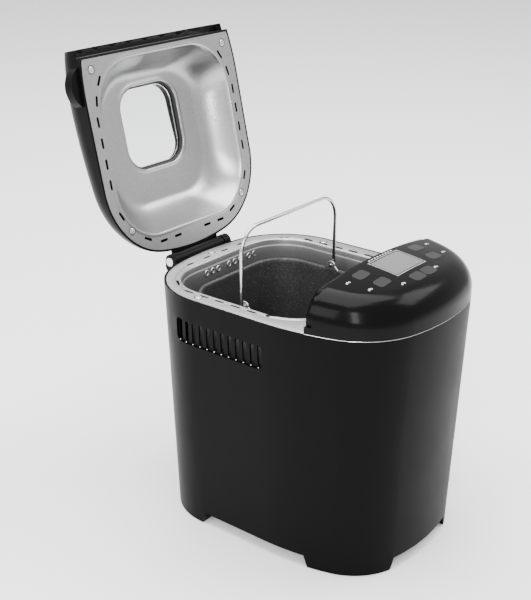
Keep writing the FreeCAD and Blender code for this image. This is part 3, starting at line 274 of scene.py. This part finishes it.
def fitted(obj, body, slot, material, *nodes, angle=30):
    """Gives a finished piece its finish and body, and hides the CAD nodes it stands for; slot is not used."""
    obj.data.materials.clear()
    obj.data.materials.append(material)
    if angle:
        smooth(obj, angle)
    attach(obj, body)
    if nodes:
        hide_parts(*nodes)


def refined(node, body, slot, material, bevel):
    """A CAD node's own shape with its triangles merged and its edges broken."""
    bm = bmesh.new()
    bm.from_mesh(frame["nodes"][node].data)
    bmesh.ops.remove_doubles(bm, verts=bm.verts, dist=1e-6)
    mesh = bpy.data.meshes.new(node + "_finished")
    bm.to_mesh(mesh)
    bm.free()
    obj = bpy.data.objects.new(node + "_finished", mesh)
    bpy.context.scene.collection.objects.link(obj)
    smooth(obj)
    if bevel:
        softened(obj, bevel)
    modifier(obj, "WEIGHTED_NORMAL", keep_sharp=True, weight=80)
    baked(obj)
    fitted(obj, body, slot, material, node, angle=None)


# ---------------------------------------------------------------- repeated things

def repeat_tree():
    """Puts a shape at each point, turned about Z by the point's own angle."""
    tree = bpy.data.node_groups.new("repeat_shape", "GeometryNodeTree")
    tree.interface.new_socket("Geometry", in_out="INPUT", socket_type="NodeSocketGeometry")
    tree.interface.new_socket("Shape", in_out="INPUT", socket_type="NodeSocketObject")
    tree.interface.new_socket("Size", in_out="INPUT", socket_type="NodeSocketFloat")
    tree.interface.new_socket("Material", in_out="INPUT", socket_type="NodeSocketMaterial")
    tree.interface.new_socket("Geometry", in_out="OUTPUT", socket_type="NodeSocketGeometry")
    new, link = tree.nodes.new, tree.links.new
    given, result = new("NodeGroupInput"), new("NodeGroupOutput")
    info, turn = new("GeometryNodeObjectInfo"), new("GeometryNodeInputNamedAttribute")
    turn.data_type = "FLOAT_VECTOR"
    turn.inputs["Name"].default_value = "turn"
    instance, realize = new("GeometryNodeInstanceOnPoints"), new("GeometryNodeRealizeInstances")
    finish, rotation = new("GeometryNodeSetMaterial"), new("FunctionNodeEulerToRotation")
    link(given.outputs["Geometry"], instance.inputs["Points"])
    link(given.outputs["Shape"], info.inputs["Object"])
    link(info.outputs["Geometry"], instance.inputs["Instance"])
    link(turn.outputs["Attribute"], rotation.inputs["Euler"])
    link(rotation.outputs["Rotation"], instance.inputs["Rotation"])
    link(given.outputs["Size"], instance.inputs["Scale"])
    link(instance.outputs["Instances"], realize.inputs["Geometry"])
    link(realize.outputs["Geometry"], finish.inputs["Geometry"])
    link(given.outputs["Material"], finish.inputs["Material"])
    link(finish.outputs["Geometry"], result.inputs["Geometry"])
    return tree


REPEAT = repeat_tree()


def repeated(name, shape, spots, material=None, opened=False):
    """One mesh of a small shape at every spot: (x, y, z) and its turns about X, Y and Z."""
    mesh = bpy.data.meshes.new(name)
    mesh.from_pydata([spot for spot, turn in spots], [], [])
    turns = mesh.attributes.new("turn", "FLOAT_VECTOR", "POINT")
    turns.data.foreach_set("vector", [value for spot, turn in spots for value in turn])
    obj = bpy.data.objects.new(name, mesh)
    bpy.context.scene.collection.objects.link(obj)
    pattern_mesh = bpy.data.meshes.new(name + "_pattern")
    shape.to_mesh(pattern_mesh)
    shape.free()
    pattern = bpy.data.objects.new(name + "_pattern", pattern_mesh)
    bpy.context.scene.collection.objects.link(pattern)
    nodes = obj.modifiers.new("repeat", "NODES")
    nodes.node_group = REPEAT
    values = {"Shape": pattern, "Size": 1.0, "Material": material}
    for item in REPEAT.interface.items_tree:
        if item.in_out == "INPUT" and item.name in values:
            nodes[item.identifier] = values[item.name]
    baked(obj, pattern)
    obj.data.transform(TO_FRAME @ SWING if opened else TO_FRAME)
    return obj


def slot_shape(length=10.5, width=2.7, depth=8.0):
    """A block with round ends, along Y, that cuts a slot."""
    outline = rounded(width, length, width / 2 - 0.01, 0, steps=5)
    return skin([level(outline, -depth / 2), level(outline, depth / 2)], True, True)


def well_shape(radius=4.3, half_depth=3.0):
    """The round hole that a screw head sits in."""
    return skin([circle(radius, -half_depth, 40), circle(radius, half_depth, 40)], True, True)


def cross_ring(reach, z, steps=32, waist=0.34):
    """A ring pulled in between the four arms of a cross."""
    ring = []
    for i in range(steps):
        spoke = reach * (1.0 if i % 8 in (7, 0, 1) else waist)
        ring.append((spoke * math.cos(math.tau * i / steps), spoke * math.sin(math.tau * i / steps), z))
    return ring


def screw_shape(radius=3.4, height=0.5):
    """A domed screw head with a cross recess."""
    dome = [circle(radius * share, height * rise, 32)
            for share, rise in ((1.0, -1.5), (1.0, 0.15), (0.93, 0.55), (0.8, 0.85), (0.68, 0.97))]
    recess = [cross_ring(radius * reach, height * depth) for depth, reach in ((0.98, 0.62), (-0.9, 0.5))]
    return skin(dome + recess, True, True)


def stud_shape(radius, height):
    """A low domed stud."""
    return skin([circle(radius * share, height * rise, 12)
                 for share, rise in ((1.0, -1.0), (1.0, 0.0), (0.7, 0.7), (0.3, 1.0))], True, True)


def ring_shape(radius, thick, steps=24, section=8):
    """A round ring of round wire, lying flat."""
    rings = []
    for i in range(steps):
        a = math.tau * i / steps
        ring = []
        for k in range(section):
            reach = radius + thick * math.cos(math.tau * k / section)
            ring.append((reach * math.cos(a), reach * math.sin(a), thick * math.sin(math.tau * k / section)))
        rings.append(ring)
    return skin(rings, joined=True)


def bar_shape(width, length, height):
    """A flat printed mark with soft corners."""
    outline = rounded(width, length, min(width, length) / 2 * 0.6, 0, steps=3)
    return skin([level(outline, -height), level(outline, height)], True, True)


# ---------------------------------------------------------------- finishes

def noise_group(name, scale, detail, stretch=(1, 1, 1)):
    """A grain: its Height, and a Mask cut from it between Low and High; Scale is per metre."""
    group = bpy.data.node_groups.new(name, "ShaderNodeTree")
    for label, value in (("Scale", scale), ("Low", 0.35), ("High", 0.65)):
        socket = group.interface.new_socket(label, in_out="INPUT", socket_type="NodeSocketFloat")
        socket.default_value = value
    group.interface.new_socket("Height", in_out="OUTPUT", socket_type="NodeSocketFloat")
    group.interface.new_socket("Mask", in_out="OUTPUT", socket_type="NodeSocketFloat")
    new, link = group.nodes.new, group.links.new
    given, result = new("NodeGroupInput"), new("NodeGroupOutput")
    place, turn = new("ShaderNodeTexCoord"), new("ShaderNodeMapping")
    turn.inputs["Scale"].default_value = stretch
    noise, cut = new("ShaderNodeTexNoise"), new("ShaderNodeMapRange")
    noise.inputs["Detail"].default_value = detail
    noise.inputs["Roughness"].default_value = 0.6
    link(place.outputs["Object"], turn.inputs["Vector"])
    link(turn.outputs["Vector"], noise.inputs["Vector"])
    link(given.outputs["Scale"], noise.inputs["Scale"])
    link(noise.outputs["Fac"], cut.inputs["Value"])
    link(given.outputs["Low"], cut.inputs["From Min"])
    link(given.outputs["High"], cut.inputs["From Max"])
    link(noise.outputs["Fac"], result.inputs["Height"])
    link(cut.outputs["Result"], result.inputs["Mask"])
    return group


GRAIN = noise_group("fine_grain", 900, 3)
SMUDGE = noise_group("handling_smudges", 14, 4)
SPECKLE = noise_group("coating_speckle", 1400, 1)
BRUSH = noise_group("drawn_lines", 700, 3, (1, 0.04, 1))


def finish(name, base, other, roughness, spread, grain, scale, bump, metallic=0.0, coat=0.0,
           low=0.35, high=0.65, gleam=0.5):
    """A surface whose colour and gloss vary with its grain and with the smudges of handling."""
    made = bpy.data.materials.new(name)
    made.use_nodes = True
    nodes, link = made.node_tree.nodes, made.node_tree.links.new
    shader = nodes["Principled BSDF"]
    pattern, smudge = nodes.new("ShaderNodeGroup"), nodes.new("ShaderNodeGroup")
    pattern.node_tree, smudge.node_tree = grain, SMUDGE
    pattern.inputs["Scale"].default_value = scale
    pattern.inputs["Low"].default_value = low
    pattern.inputs["High"].default_value = high
    colour, gloss, relief = (nodes.new("ShaderNodeMix"), nodes.new("ShaderNodeMapRange"),
                             nodes.new("ShaderNodeBump"))
    colour.data_type = "RGBA"
    colour.inputs["A"].default_value = (*base, 1)
    colour.inputs["B"].default_value = (*other, 1)
    gloss.inputs["To Min"].default_value = roughness
    gloss.inputs["To Max"].default_value = roughness + spread
    relief.inputs["Strength"].default_value = bump
    relief.inputs["Distance"].default_value = 0.0002
    link(pattern.outputs["Mask"], colour.inputs["Factor"])
    link(colour.outputs["Result"], shader.inputs["Base Color"])
    link(smudge.outputs["Mask"], gloss.inputs["Value"])
    link(gloss.outputs["Result"], shader.inputs["Roughness"])
    link(pattern.outputs["Height"], relief.inputs["Height"])
    link(relief.outputs["Normal"], shader.inputs["Normal"])
    shader.inputs["Metallic"].default_value = metallic
    shader.inputs["Coat Weight"].default_value = coat
    shader.inputs["Coat Roughness"].default_value = 0.06
    shader.inputs["Specular IOR Level"].default_value = gleam
    return made


def grey(value, tint=0.0):
    return (value, value, value * (1 + tint))


finishes = {
    "housing_black": finish("satin_black_moulding", grey(0.0012), grey(0.0018), 0.36, 0.06, GRAIN, 2600,
                            0.05, gleam=0.05),
    "panel_gloss": finish("polished_black_cover", grey(0.0014), grey(0.002), 0.16, 0.05, GRAIN, 1500,
                          0.01, coat=0.02, gleam=0.07),
    "lid_black": finish("satin_black_lid", grey(0.002), grey(0.003), 0.30, 0.08, GRAIN, 2600, 0.05,
                        gleam=0.07),
    "deck_silver": finish("satin_silver_deck", grey(0.42, 0.01), grey(0.55, 0.01), 0.32, 0.06, GRAIN,
                          1500, 0.12, metallic=0.95),
    "liner_silver": finish("satin_silver_liner", grey(0.33, 0.01), grey(0.46, 0.01), 0.26, 0.07, GRAIN,
                           1150, 0.24, metallic=1.0),
    "chamber_grey": finish("grey_chamber_coating", grey(0.13), grey(0.19), 0.38, 0.12, GRAIN, 1300,
                           0.15, metallic=0.6),
    "pan_coating": finish("speckled_pan_coating", grey(0.030), grey(0.16), 0.34, 0.10, SPECKLE, 1300,
                          0.10, metallic=0.3, low=0.60, high=0.70),
    "paddle_coating": finish("speckled_paddle_coating", grey(0.035), grey(0.16), 0.36, 0.10, SPECKLE,
                             1500, 0.10, metallic=0.3, low=0.60, high=0.70),
    "bail_wire": finish("bright_bail_wire", grey(0.50), grey(0.66), 0.12, 0.08, BRUSH, 900, 0.03,
                        metallic=1.0),
    "trim_bright": finish("bright_trim", grey(0.72), grey(0.80), 0.20, 0.08, BRUSH, 900, 0.04,
                          metallic=1.0),
    "steel_plain": finish("plain_steel", grey(0.45), grey(0.56), 0.32, 0.12, BRUSH, 700, 0.12,
                          metallic=1.0),
    "screw_steel": finish("bright_screw_steel", grey(0.66), grey(0.76), 0.22, 0.10, BRUSH, 900, 0.06,
                          metallic=1.0),
    "element_steel": finish("sheathed_element", grey(0.10), (0.16, 0.12, 0.09), 0.40, 0.15, GRAIN, 500,
                            0.20, metallic=0.7),
    "bearing_bronze": finish("sintered_bronze", (0.42, 0.26, 0.11), (0.52, 0.34, 0.16), 0.40, 0.12,
                             GRAIN, 1900, 0.20, metallic=0.9),
    "pad_rubber": finish("foot_rubber", grey(0.020), grey(0.030), 0.75, 0.12, GRAIN, 1400, 0.30),
    "belt_rubber": finish("belt_rubber", grey(0.018), grey(0.026), 0.70, 0.12, GRAIN, 1400, 0.30),
    "gasket_rubber": finish("black_gasket_rubber", grey(0.014), grey(0.020), 0.55, 0.12, GRAIN, 1500,
                            0.20),
    "pulley_plastic": finish("pulley_plastic", grey(0.55), grey(0.62), 0.42, 0.10, GRAIN, 1200, 0.10),
    "motor_steel": finish("motor_can_steel", grey(0.38), grey(0.46), 0.36, 0.12, BRUSH, 500, 0.12,
                          metallic=1.0),
    "board_green": finish("board_lacquer", (0.015, 0.11, 0.04), (0.02, 0.15, 0.06), 0.30, 0.10, GRAIN,
                          700, 0.06),
    "module_grey": finish("module_plastic", grey(0.22), grey(0.27), 0.45, 0.10, GRAIN, 1200, 0.08),
    "lens_grey": finish("grey_display_lens", grey(0.11), grey(0.13), 0.24, 0.06, GRAIN, 1800, 0.02,
                        coat=0.4),
    "button_grey": finish("button_cap", grey(0.006), grey(0.009), 0.30, 0.08, GRAIN, 2400, 0.06,
                          gleam=0.35),
    # this black also colours the pads under the deck's slots: painted shade, not a real part
    "vent_black": finish("vent_moulding_and_painted_slot_shade", grey(0.0008), grey(0.0012), 0.5, 0.08, GRAIN, 1600, 0.10,
                         gleam=0.08),
    "inlet_black": finish("inlet_moulding", grey(0.014), grey(0.020), 0.45, 0.08, GRAIN, 1600, 0.10),
    "mark_print": finish("printed_marks", grey(0.62), grey(0.72), 0.45, 0.08, GRAIN, 2000, 0.03),
}


def clear_window():
    """Clear toughened glass, with the faint smudges of handling on it."""
    made = bpy.data.materials.new("clear_window_glass")
    made.use_nodes = True
    nodes, link = made.node_tree.nodes, made.node_tree.links.new
    shader = nodes["Principled BSDF"]
    smudge, gloss = nodes.new("ShaderNodeGroup"), nodes.new("ShaderNodeMapRange")
    smudge.node_tree = SMUDGE
    gloss.inputs["To Min"].default_value = 0.02
    gloss.inputs["To Max"].default_value = 0.05
    link(smudge.outputs["Mask"], gloss.inputs["Value"])
    link(gloss.outputs["Result"], shader.inputs["Roughness"])
    shader.inputs["Base Color"].default_value = (0.96, 0.98, 0.98, 1)
    shader.inputs["Transmission Weight"].default_value = 1.0
    shader.inputs["IOR"].default_value = 1.2
    return made


finishes["window_clear"] = clear_window()

# ---------------------------------------------------------------- nodes that keep their CAD shape

node_slot = {part["node"]: part["material_slot"] for part in frame["record"]["subparts"]}
body_of = {node: body for body, members in frame["record"]["behaviour"]["bodies"].items() for node in members}
HAND_MADE = ("seam_trim", "lid_liner", "deck_plate", "chamber_liner", "pan_body", "window_gasket",
             "window_glass", "deck_screws", "liner_screws")
ROUND_ALREADY = ("housing_shell", "lid_cover", "panel_cover", "bail_handle", "heating_element", "drive_belt")
BROKEN_EDGE = 0.25
for node, slot_name in node_slot.items():
    if node not in HAND_MADE:
        refined(node, body_of[node], slot_name, finishes[slot_name],
                0.0 if node in ROUND_ALREADY else BROKEN_EDGE)

# ---------------------------------------------------------------- pressed sheets and the pan


def chamber_ring(grow, z):
    return level(around(rounded(*CHAMBER, CHAMBER_Y, grow)), z)


def window_ring(grow, z):
    return level(around(rounded(*WINDOW, WINDOW_Y, grow)), z)


def mirrored(spots):
    """Slot places on the right with their turn in degrees, and the same on the left."""
    return [(side * x, y, -side * turn) for side in (-1, 1) for x, y, turn in spots]


def slot_places(spots, z):
    """Slots at a height, as places for repeated()."""
    return [((x, y, z), (0, 0, math.radians(turn))) for x, y, turn in spots]


def slot_cutters(name, spots, z, opened=False):
    return repeated(name, slot_shape(), slot_places(spots, z), opened=opened)


def screw_wells(name, spots, z, opened=False):
    return repeated(name, well_shape(), [((x, y, z), (0, 0, 0)) for x, y in spots], opened=opened)


deck_screw_spots = ((-100.4, 63.0), (100.4, 63.0), (0.0, 134.4))
liner_screw_spots = ((-95.4, -53.0), (95.4, -53.0), (-84.5, 108.5), (84.5, 108.5))
side_line, rear_line = HALF_WIDTH - 9.5, REAR_REACH - 13.8
liner_slots = (mirrored([(side_line, CHAMBER_Y - 34.2 + 20.5 * k, 0) for k in range(4)])
               + mirrored([(side_line - 3.5, CHAMBER_Y - 54.0, 12),
                           (side_line - 11.5, CHAMBER_Y - 72.5, 30),
                           (side_line - 5.5, CHAMBER_Y + 60.0, -27),
                           (side_line - 34.5, rear_line - 7.2, -62)])
               + mirrored([(22.8, rear_line, 90), (44.0, rear_line, 90)]))
deck_side, deck_rear = HALF_WIDTH - 13.2, REAR_REACH - 14.2
deck_slots = (mirrored([(deck_side, CHAMBER_Y - 29.0 + 19.4 * k, 0) for k in range(5)])
              + mirrored([(deck_side - 4.3, CHAMBER_Y - 49.5, 20), (84.5, 104.0, -38)])
              + mirrored([(14.0, deck_rear, 90), (40.0, deck_rear, 90)]))
SHEET = 0.3

# the lid's liner: a flat flange, a rolled rim and a soft bowl down to the window
FLOOR_Z, MOUTH_Z = 280.8, 252.6
FLANGE_FRONT, RIM_FRONT = -63.7, -62.6
BOWL_RINGS, BOWL_POWER = 18, 1.75
edge = around(deck_outline(-PLATE_GAP))
mouth = around(rounded(*MOUTH, CHAMBER_Y))
dish_floor = around(rounded(*DISH_FLOOR, DISH_FLOOR_Y))
window_edge = around(rounded(*WINDOW, WINDOW_Y, 6.0))
rings = [level(behind(edge, FLANGE_FRONT), LID_BASE)]
for grow, z in ((4.6, 0.0), (3.4, -0.03), (2.6, -0.2), (1.7, -0.26), (0.9, -0.15), (0.2, 0.3), (-0.5, 1.0)):
    rings.append(level(behind(around(rounded(*MOUTH, CHAMBER_Y, grow)), RIM_FRONT), LID_BASE + z))
for k in range(1, BOWL_RINGS + 1):
    share = k / BOWL_RINGS
    depth = 1 - (1 - share) ** BOWL_POWER
    rings.append(level(between(mouth, dish_floor, 0.02 + 0.98 * share),
                       MOUTH_Z + (FLOOR_Z - MOUTH_Z) * depth))
for share in (0.3, 0.6, 0.85, 1.0):
    rings.append(level(between(dish_floor, window_edge, share), FLOOR_Z + 0.25 * math.sin(math.pi * share)))
for grow, z in ((4.4, -0.1), (3.4, -0.5), (2.4, -0.55), (1.5, -0.2), (1.0, 0.5), (0.9, 1.4)):
    rings.append(window_ring(grow, FLOOR_Z + z))
liner = as_object("lid_liner_pressing", facing(skin(rings), False), opened=True)
thickened(liner, SHEET)
pierced(liner, slot_cutters("liner_slot_cutters", liner_slots, LID_BASE, opened=True),
        screw_wells("liner_screw_wells", liner_screw_spots, LID_BASE, opened=True))
fitted(liner, "lid", "liner_silver", finishes["liner_silver"], "lid_liner", angle=40)

# the deck: a pressed sheet with a groove and a rolled lip round the chamber
rings = [level(behind(edge, PANEL_WALL + 0.3), DECK - 0.9),
         level(behind(edge, PANEL_WALL + 0.3), DECK - 0.15),
         level(behind(around(deck_outline(-0.7)), PANEL_WALL + 0.5), DECK)]
for grow, z in ((6.4, 0.0), (5.8, -0.15), (5.3, -0.9), (4.5, -1.0), (4.1, -0.8), (3.7, -0.1),
                (3.0, 0.08), (2.2, 0.12), (1.4, 0.0), (0.8, -0.4), (0.5, -1.2), (0.45, -3.0)):
    rings.append(chamber_ring(grow, DECK + z))
deck = as_object("deck_pressing", facing(skin(rings), True))
thickened(deck, SHEET)
pierced(deck, slot_cutters("deck_slot_cutters", deck_slots, DECK),
        screw_wells("deck_screw_wells", deck_screw_spots, DECK))
fitted(deck, "base", "deck_silver", finishes["deck_silver"], "deck_plate", angle=40)
# near-black pads just under the deck's slots: a dark sheet put where there is only shade, painted shade that
# makes the slots look deep
slot_shade_pads = repeated("slot_baffles", slot_shape(11.6, 3.8, 0.4), slot_places(deck_slots, DECK - 0.55),
                   finishes["vent_black"])
fitted(slot_shade_pads, "base", "vent_black", finishes["vent_black"])

# a fine bright line round the front, between the housing and the panel
rings = [level(around(deck_outline(grow)), DECK + rise)
         for grow, rise in ((0.8, 0.3), (2.0, 0.3), (2.12, 0.5), (2.0, 0.7), (0.8, 0.7))]
line = as_object("bright_seam_line", sliced(skin(rings, joined=True), "y", PANEL_WALL - 0.5, False))
fitted(line, "base", "trim_bright", finishes["trim_bright"], "seam_trim", angle=50)

# the chamber: a drawn tub with a stepped rim and a round hole for the drive
TUB_FLOOR, TUB_BEND, TUB_WALL, TUB_FLAT, TUB_SHEET, DRIVE_HOLE = 62.0, 9.0, -1.6, -40.0, 0.9, 8.5
rings = [chamber_ring(grow, DECK - drop) for grow, drop in ((0.2, 2.6), (0.0, 3.4), (-0.2, 5.0), (-0.5, 6.0),
                                                           (-1.3, 6.7), (TUB_WALL, 7.6))]
rings += [chamber_ring(TUB_WALL, z) for z in (236.0, 180.0, 120.0, 72.0)]
rings += [chamber_ring(TUB_WALL - TUB_BEND * (1 - math.cos(a)), TUB_FLOOR + TUB_BEND - TUB_BEND * math.sin(a))
          for a in (0.4, 0.8, 1.2, math.pi / 2)]
rings += [chamber_ring(TUB_FLAT, TUB_FLOOR), circle(DRIVE_HOLE, TUB_FLOOR, y=CHAMBER_Y)]
tub = as_object("chamber_tub", facing(skin(rings), True))
thickened(tub, TUB_SHEET)
baked(tub)
fitted(tub, "base", "chamber_grey", finishes["chamber_grey"], "chamber_liner")

# the pan: a drawn shell with a rolled rim, wider towards the top
PAN_FLOOR, PAN_RIM, PAN_SHEET = 84.0, 235.0, 1.6
PAN_FLOOR_SIZE, PAN_RIM_SIZE, PAN_CORNER = 136.0, 147.0, 36.0
INNER_BEND, OUTER_BEND, FLOOR_INSET, SHAFT_HOLE = 12.0, 8.0, 34.0, 7.2


def pan_ring(grow, z):
    """The pan's outline at a height: wider towards the rim."""
    size = PAN_FLOOR_SIZE + (PAN_RIM_SIZE - PAN_FLOOR_SIZE) * (z - PAN_FLOOR) / (PAN_RIM - PAN_FLOOR)
    return level(around(rounded(size, size, PAN_CORNER, CHAMBER_Y, grow, 16)), z)


inside = PAN_FLOOR + PAN_SHEET
rings = [circle(SHAFT_HOLE, inside, y=CHAMBER_Y), pan_ring(-FLOOR_INSET, inside)]
rings += [pan_ring(-PAN_SHEET - INNER_BEND * (1 - math.sin(a)),
                   inside + INNER_BEND - INNER_BEND * math.cos(a)) for a in (0, 0.4, 0.8, 1.2, math.pi / 2)]
rings += [pan_ring(-PAN_SHEET, z) for z in (150.0, 200.0, 230.0, 233.2)]
rings += [pan_ring(grow, PAN_RIM - drop)
          for grow, drop in ((-1.3, 0.8), (-0.6, 0.1), (0.4, 0.0), (1.5, 0.1), (2.2, 0.7),
                             (2.5, 1.8), (2.4, 3.0), (1.9, 3.7), (1.0, 4.0), (0.1, 4.4))]
rings += [pan_ring(0.0, z) for z in (200.0, 150.0, PAN_FLOOR + OUTER_BEND)]
rings += [pan_ring(-OUTER_BEND * (1 - math.cos(a)), PAN_FLOOR + OUTER_BEND - OUTER_BEND * math.sin(a))
          for a in (0.5, 1.0, math.pi / 2)]
rings += [pan_ring(-FLOOR_INSET, PAN_FLOOR), circle(SHAFT_HOLE, PAN_FLOOR, y=CHAMBER_Y)]
pan = as_object("drawn_pan", skin(rings, joined=True))
fitted(pan, "pan", "pan_coating", finishes["pan_coating"], "pan_body")

# the window: a ribbed gasket in its well, and the pane behind it
rings = [window_ring(grow, z)
         for grow, z in ((2.6, 281.8), (0.6, 281.8), (-0.5, 282.4), (0.5, 283.0), (-0.5, 283.7),
                         (0.5, 284.4), (-0.5, 285.1), (0.4, 285.8), (2.6, 285.9))]
gasket = as_object("ribbed_gasket", skin(rings, joined=True), opened=True)
fitted(gasket, "lid", "gasket_rubber", finishes["gasket_rubber"], "window_gasket", angle=60)
rings = [window_ring(grow, z) for grow, z in ((-1.7, 286.2), (-1.2, 286.6), (-1.2, 288.6), (-1.7, 289.0))]
pane = as_object("window_pane", skin(rings, True, True), opened=True)
fitted(pane, "lid", "window_clear", finishes["window_clear"], "window_glass")

# ---------------------------------------------------------------- screws, studs and marks

screws = repeated("deck_screw_heads", screw_shape(),
                  [((x, y, DECK), (0, 0, 0.4 + 0.5 * k)) for k, (x, y) in enumerate(deck_screw_spots)],
                  finishes["screw_steel"])
fitted(screws, "base", "screw_steel", finishes["screw_steel"], "deck_screws", angle=40)
screws = repeated("liner_screw_heads", screw_shape(height=0.45),
                  [((x, y, LID_BASE), (math.pi, 0, 0.2 + 0.7 * k))
                   for k, (x, y) in enumerate(liner_screw_spots)],
                  finishes["screw_steel"], opened=True)
fitted(screws, "lid", "screw_steel", finishes["screw_steel"], "liner_screws", angle=40)


def flank_x(y, grow):
    """How far out the flank stands at a place along it."""
    if y < FLANK_START:
        return HALF_WIDTH - FLANK_ARC + math.sqrt((FLANK_ARC + grow) ** 2 - (y - FLANK_START) ** 2)
    if y > FLANK_END:
        return HALF_WIDTH - TAIL_ARC + math.sqrt((TAIL_ARC + grow) ** 2 - (y - FLANK_END) ** 2)
    return HALF_WIDTH + grow


VENT_Y, VENT_Z, VENT_PITCH, VENT_SLOTS = 32.0, 203.6, 8.95, 12
vent_places = [(side, VENT_Y + VENT_PITCH * (k - (VENT_SLOTS - 1) / 2))
               for side in (-1, 1) for k in range(VENT_SLOTS)]
studs = repeated("vent_studs", stud_shape(0.55, 0.3),
                 [((side * flank_x(y, -0.05), y, VENT_Z), (0, side * math.pi / 2, 0))
                  for side, y in vent_places], finishes["trim_bright"])
fitted(studs, "base", "trim_bright", finishes["trim_bright"])


def on_dome(x, y, lift=0.1):
    """A place on the dome, and the turn that stands a shape upright there."""
    z = DECK + DOME_RISE - CROWN_RADIUS + math.sqrt(CROWN_RADIUS ** 2 - x ** 2 - (y - CROWN_Y) ** 2)
    lean, roll = (y - CROWN_Y) / CROWN_RADIUS, x / CROWN_RADIUS
    return (x, y, z + lift), (-math.asin(lean), math.asin(roll), 0)


MARK_HEIGHT = 0.08
frame_x, frame_front, frame_rear = 23.6, -108.6, -76.4
dots_across, dots_along = 32, 22
dots = [on_dome(-frame_x + 2 * frame_x * k / dots_across, y)
        for k in range(dots_across + 1) for y in (frame_front, frame_rear)]
dots += [on_dome(x, frame_front + (frame_rear - frame_front) * k / dots_along)
         for k in range(1, dots_along) for x in (-frame_x, frame_x)]
border = repeated("display_border", bar_shape(0.75, 0.75, MARK_HEIGHT), dots, finishes["mark_print"])
fitted(border, "base", "lens_grey", finishes["mark_print"])
ticks = repeated("display_ticks", bar_shape(2.6, 1.0, MARK_HEIGHT),
                 [on_dome(-18.0 + 4.5 * k, frame_rear + 2.6) for k in range(9)], finishes["mark_print"])
fitted(ticks, "base", "lens_grey", finishes["mark_print"])
bars = []
for x, y in ((-66.0, -84.0), (66.0, -84.0), (-62.0, -105.0), (62.0, -105.0), (-32.0, -120.0),
             (21.5, -121.0)):
    bars += [on_dome(x - 2.0, y), on_dome(x, y + 0.7), on_dome(x + 2.0, y)]
marks = repeated("button_marks", bar_shape(1.0, 2.2, MARK_HEIGHT), bars, finishes["mark_print"])
fitted(marks, "base", "button_grey", finishes["mark_print"])

HOOP_Z = 238.6
rear_wall = CHAMBER_Y + CHAMBER[1] / 2 - 1.7
hoops = repeated("embossed_rings", ring_shape(2.7, 0.75),
                 [((x, rear_wall, HOOP_Z), (math.pi / 2, 0, 0)) for x in (-26, -17, -8, 9, 18, 27, 41, 50)],
                 finishes["steel_plain"])
fitted(hoops, "base", "chamber_grey", finishes["steel_plain"])

# ---------------------------------------------------------------- camera, floor and light

YAW, PITCH, ROLL = math.radians(38.60), math.radians(22.49), math.radians(0.24)
eye = MIDDLE + Vector((-857.96, -623.02, 669.53)) * MM
forward = Vector((math.cos(YAW) * math.cos(PITCH), math.sin(YAW) * math.cos(PITCH), -math.sin(PITCH)))
level_right = Vector((math.sin(YAW), -math.cos(YAW), 0))
level_up = level_right.cross(forward)
right = level_right * math.cos(ROLL) + level_up * math.sin(ROLL)
up = level_up * math.cos(ROLL) - level_right * math.sin(ROLL)
lens = bpy.data.cameras.new("studio_camera")
lens.lens, lens.sensor_width, lens.sensor_fit = 69.9, 36.0, "AUTO"
lens.clip_start, lens.clip_end = 0.05, 30.0
camera = bpy.data.objects.new("studio_camera", lens)
camera.matrix_world = Matrix((right, up, -forward)).transposed().to_4x4()
camera.location = eye
bpy.context.scene.collection.objects.link(camera)
bpy.context.scene.camera = camera

FLOOR_HALF = 4.0
corners = [(-FLOOR_HALF, -FLOOR_HALF, 0), (FLOOR_HALF, -FLOOR_HALF, 0), (FLOOR_HALF, FLOOR_HALF, 0),
           (-FLOOR_HALF, FLOOR_HALF, 0)]
floor_mesh = bpy.data.meshes.new("studio_floor")
floor_mesh.from_pydata(corners, [], [(0, 1, 2, 3)])
floor = bpy.data.objects.new("studio_floor", floor_mesh)
bpy.context.scene.collection.objects.link(floor)
floor_mesh.materials.append(finish("pale_floor", grey(0.95), grey(0.96), 0.7, 0.05, GRAIN, 300, 0.0))


def soft_light(name, place, target, size, power):
    lamp = bpy.data.lights.new(name, "AREA")
    lamp.shape, lamp.size, lamp.size_y, lamp.energy = "RECTANGLE", size[0], size[1], power
    obj = bpy.data.objects.new(name, lamp)
    obj.location = place
    obj.rotation_euler = (Vector(target) - Vector(place)).to_track_quat("-Z", "Y").to_euler()
    bpy.context.scene.collection.objects.link(obj)


soft_light("broad_left", (-2.1, 0.2, 1.3), (0, 0, 0.25), (1.0, 1.2), 22)
soft_light("tall_strip", (-1.25, -0.85, 1.0), (0, 0.1, 0.35), (0.22, 1.1), 16)
soft_light("high_right", (1.4, -1.2, 2.0), (0, 0, 0.3), (1.4, 1.0), 34)
soft_light("overhead", (0.0, 0.3, 2.6), (0, 0, 0.3), (2.6, 2.2), 150)
world = bpy.data.worlds.new("studio_surround")
world.use_nodes = True
world.node_tree.nodes["Background"].inputs["Color"].default_value = (1, 1, 1, 1)
world.node_tree.nodes["Background"].inputs["Strength"].default_value = 1.15
bpy.context.scene.world = world
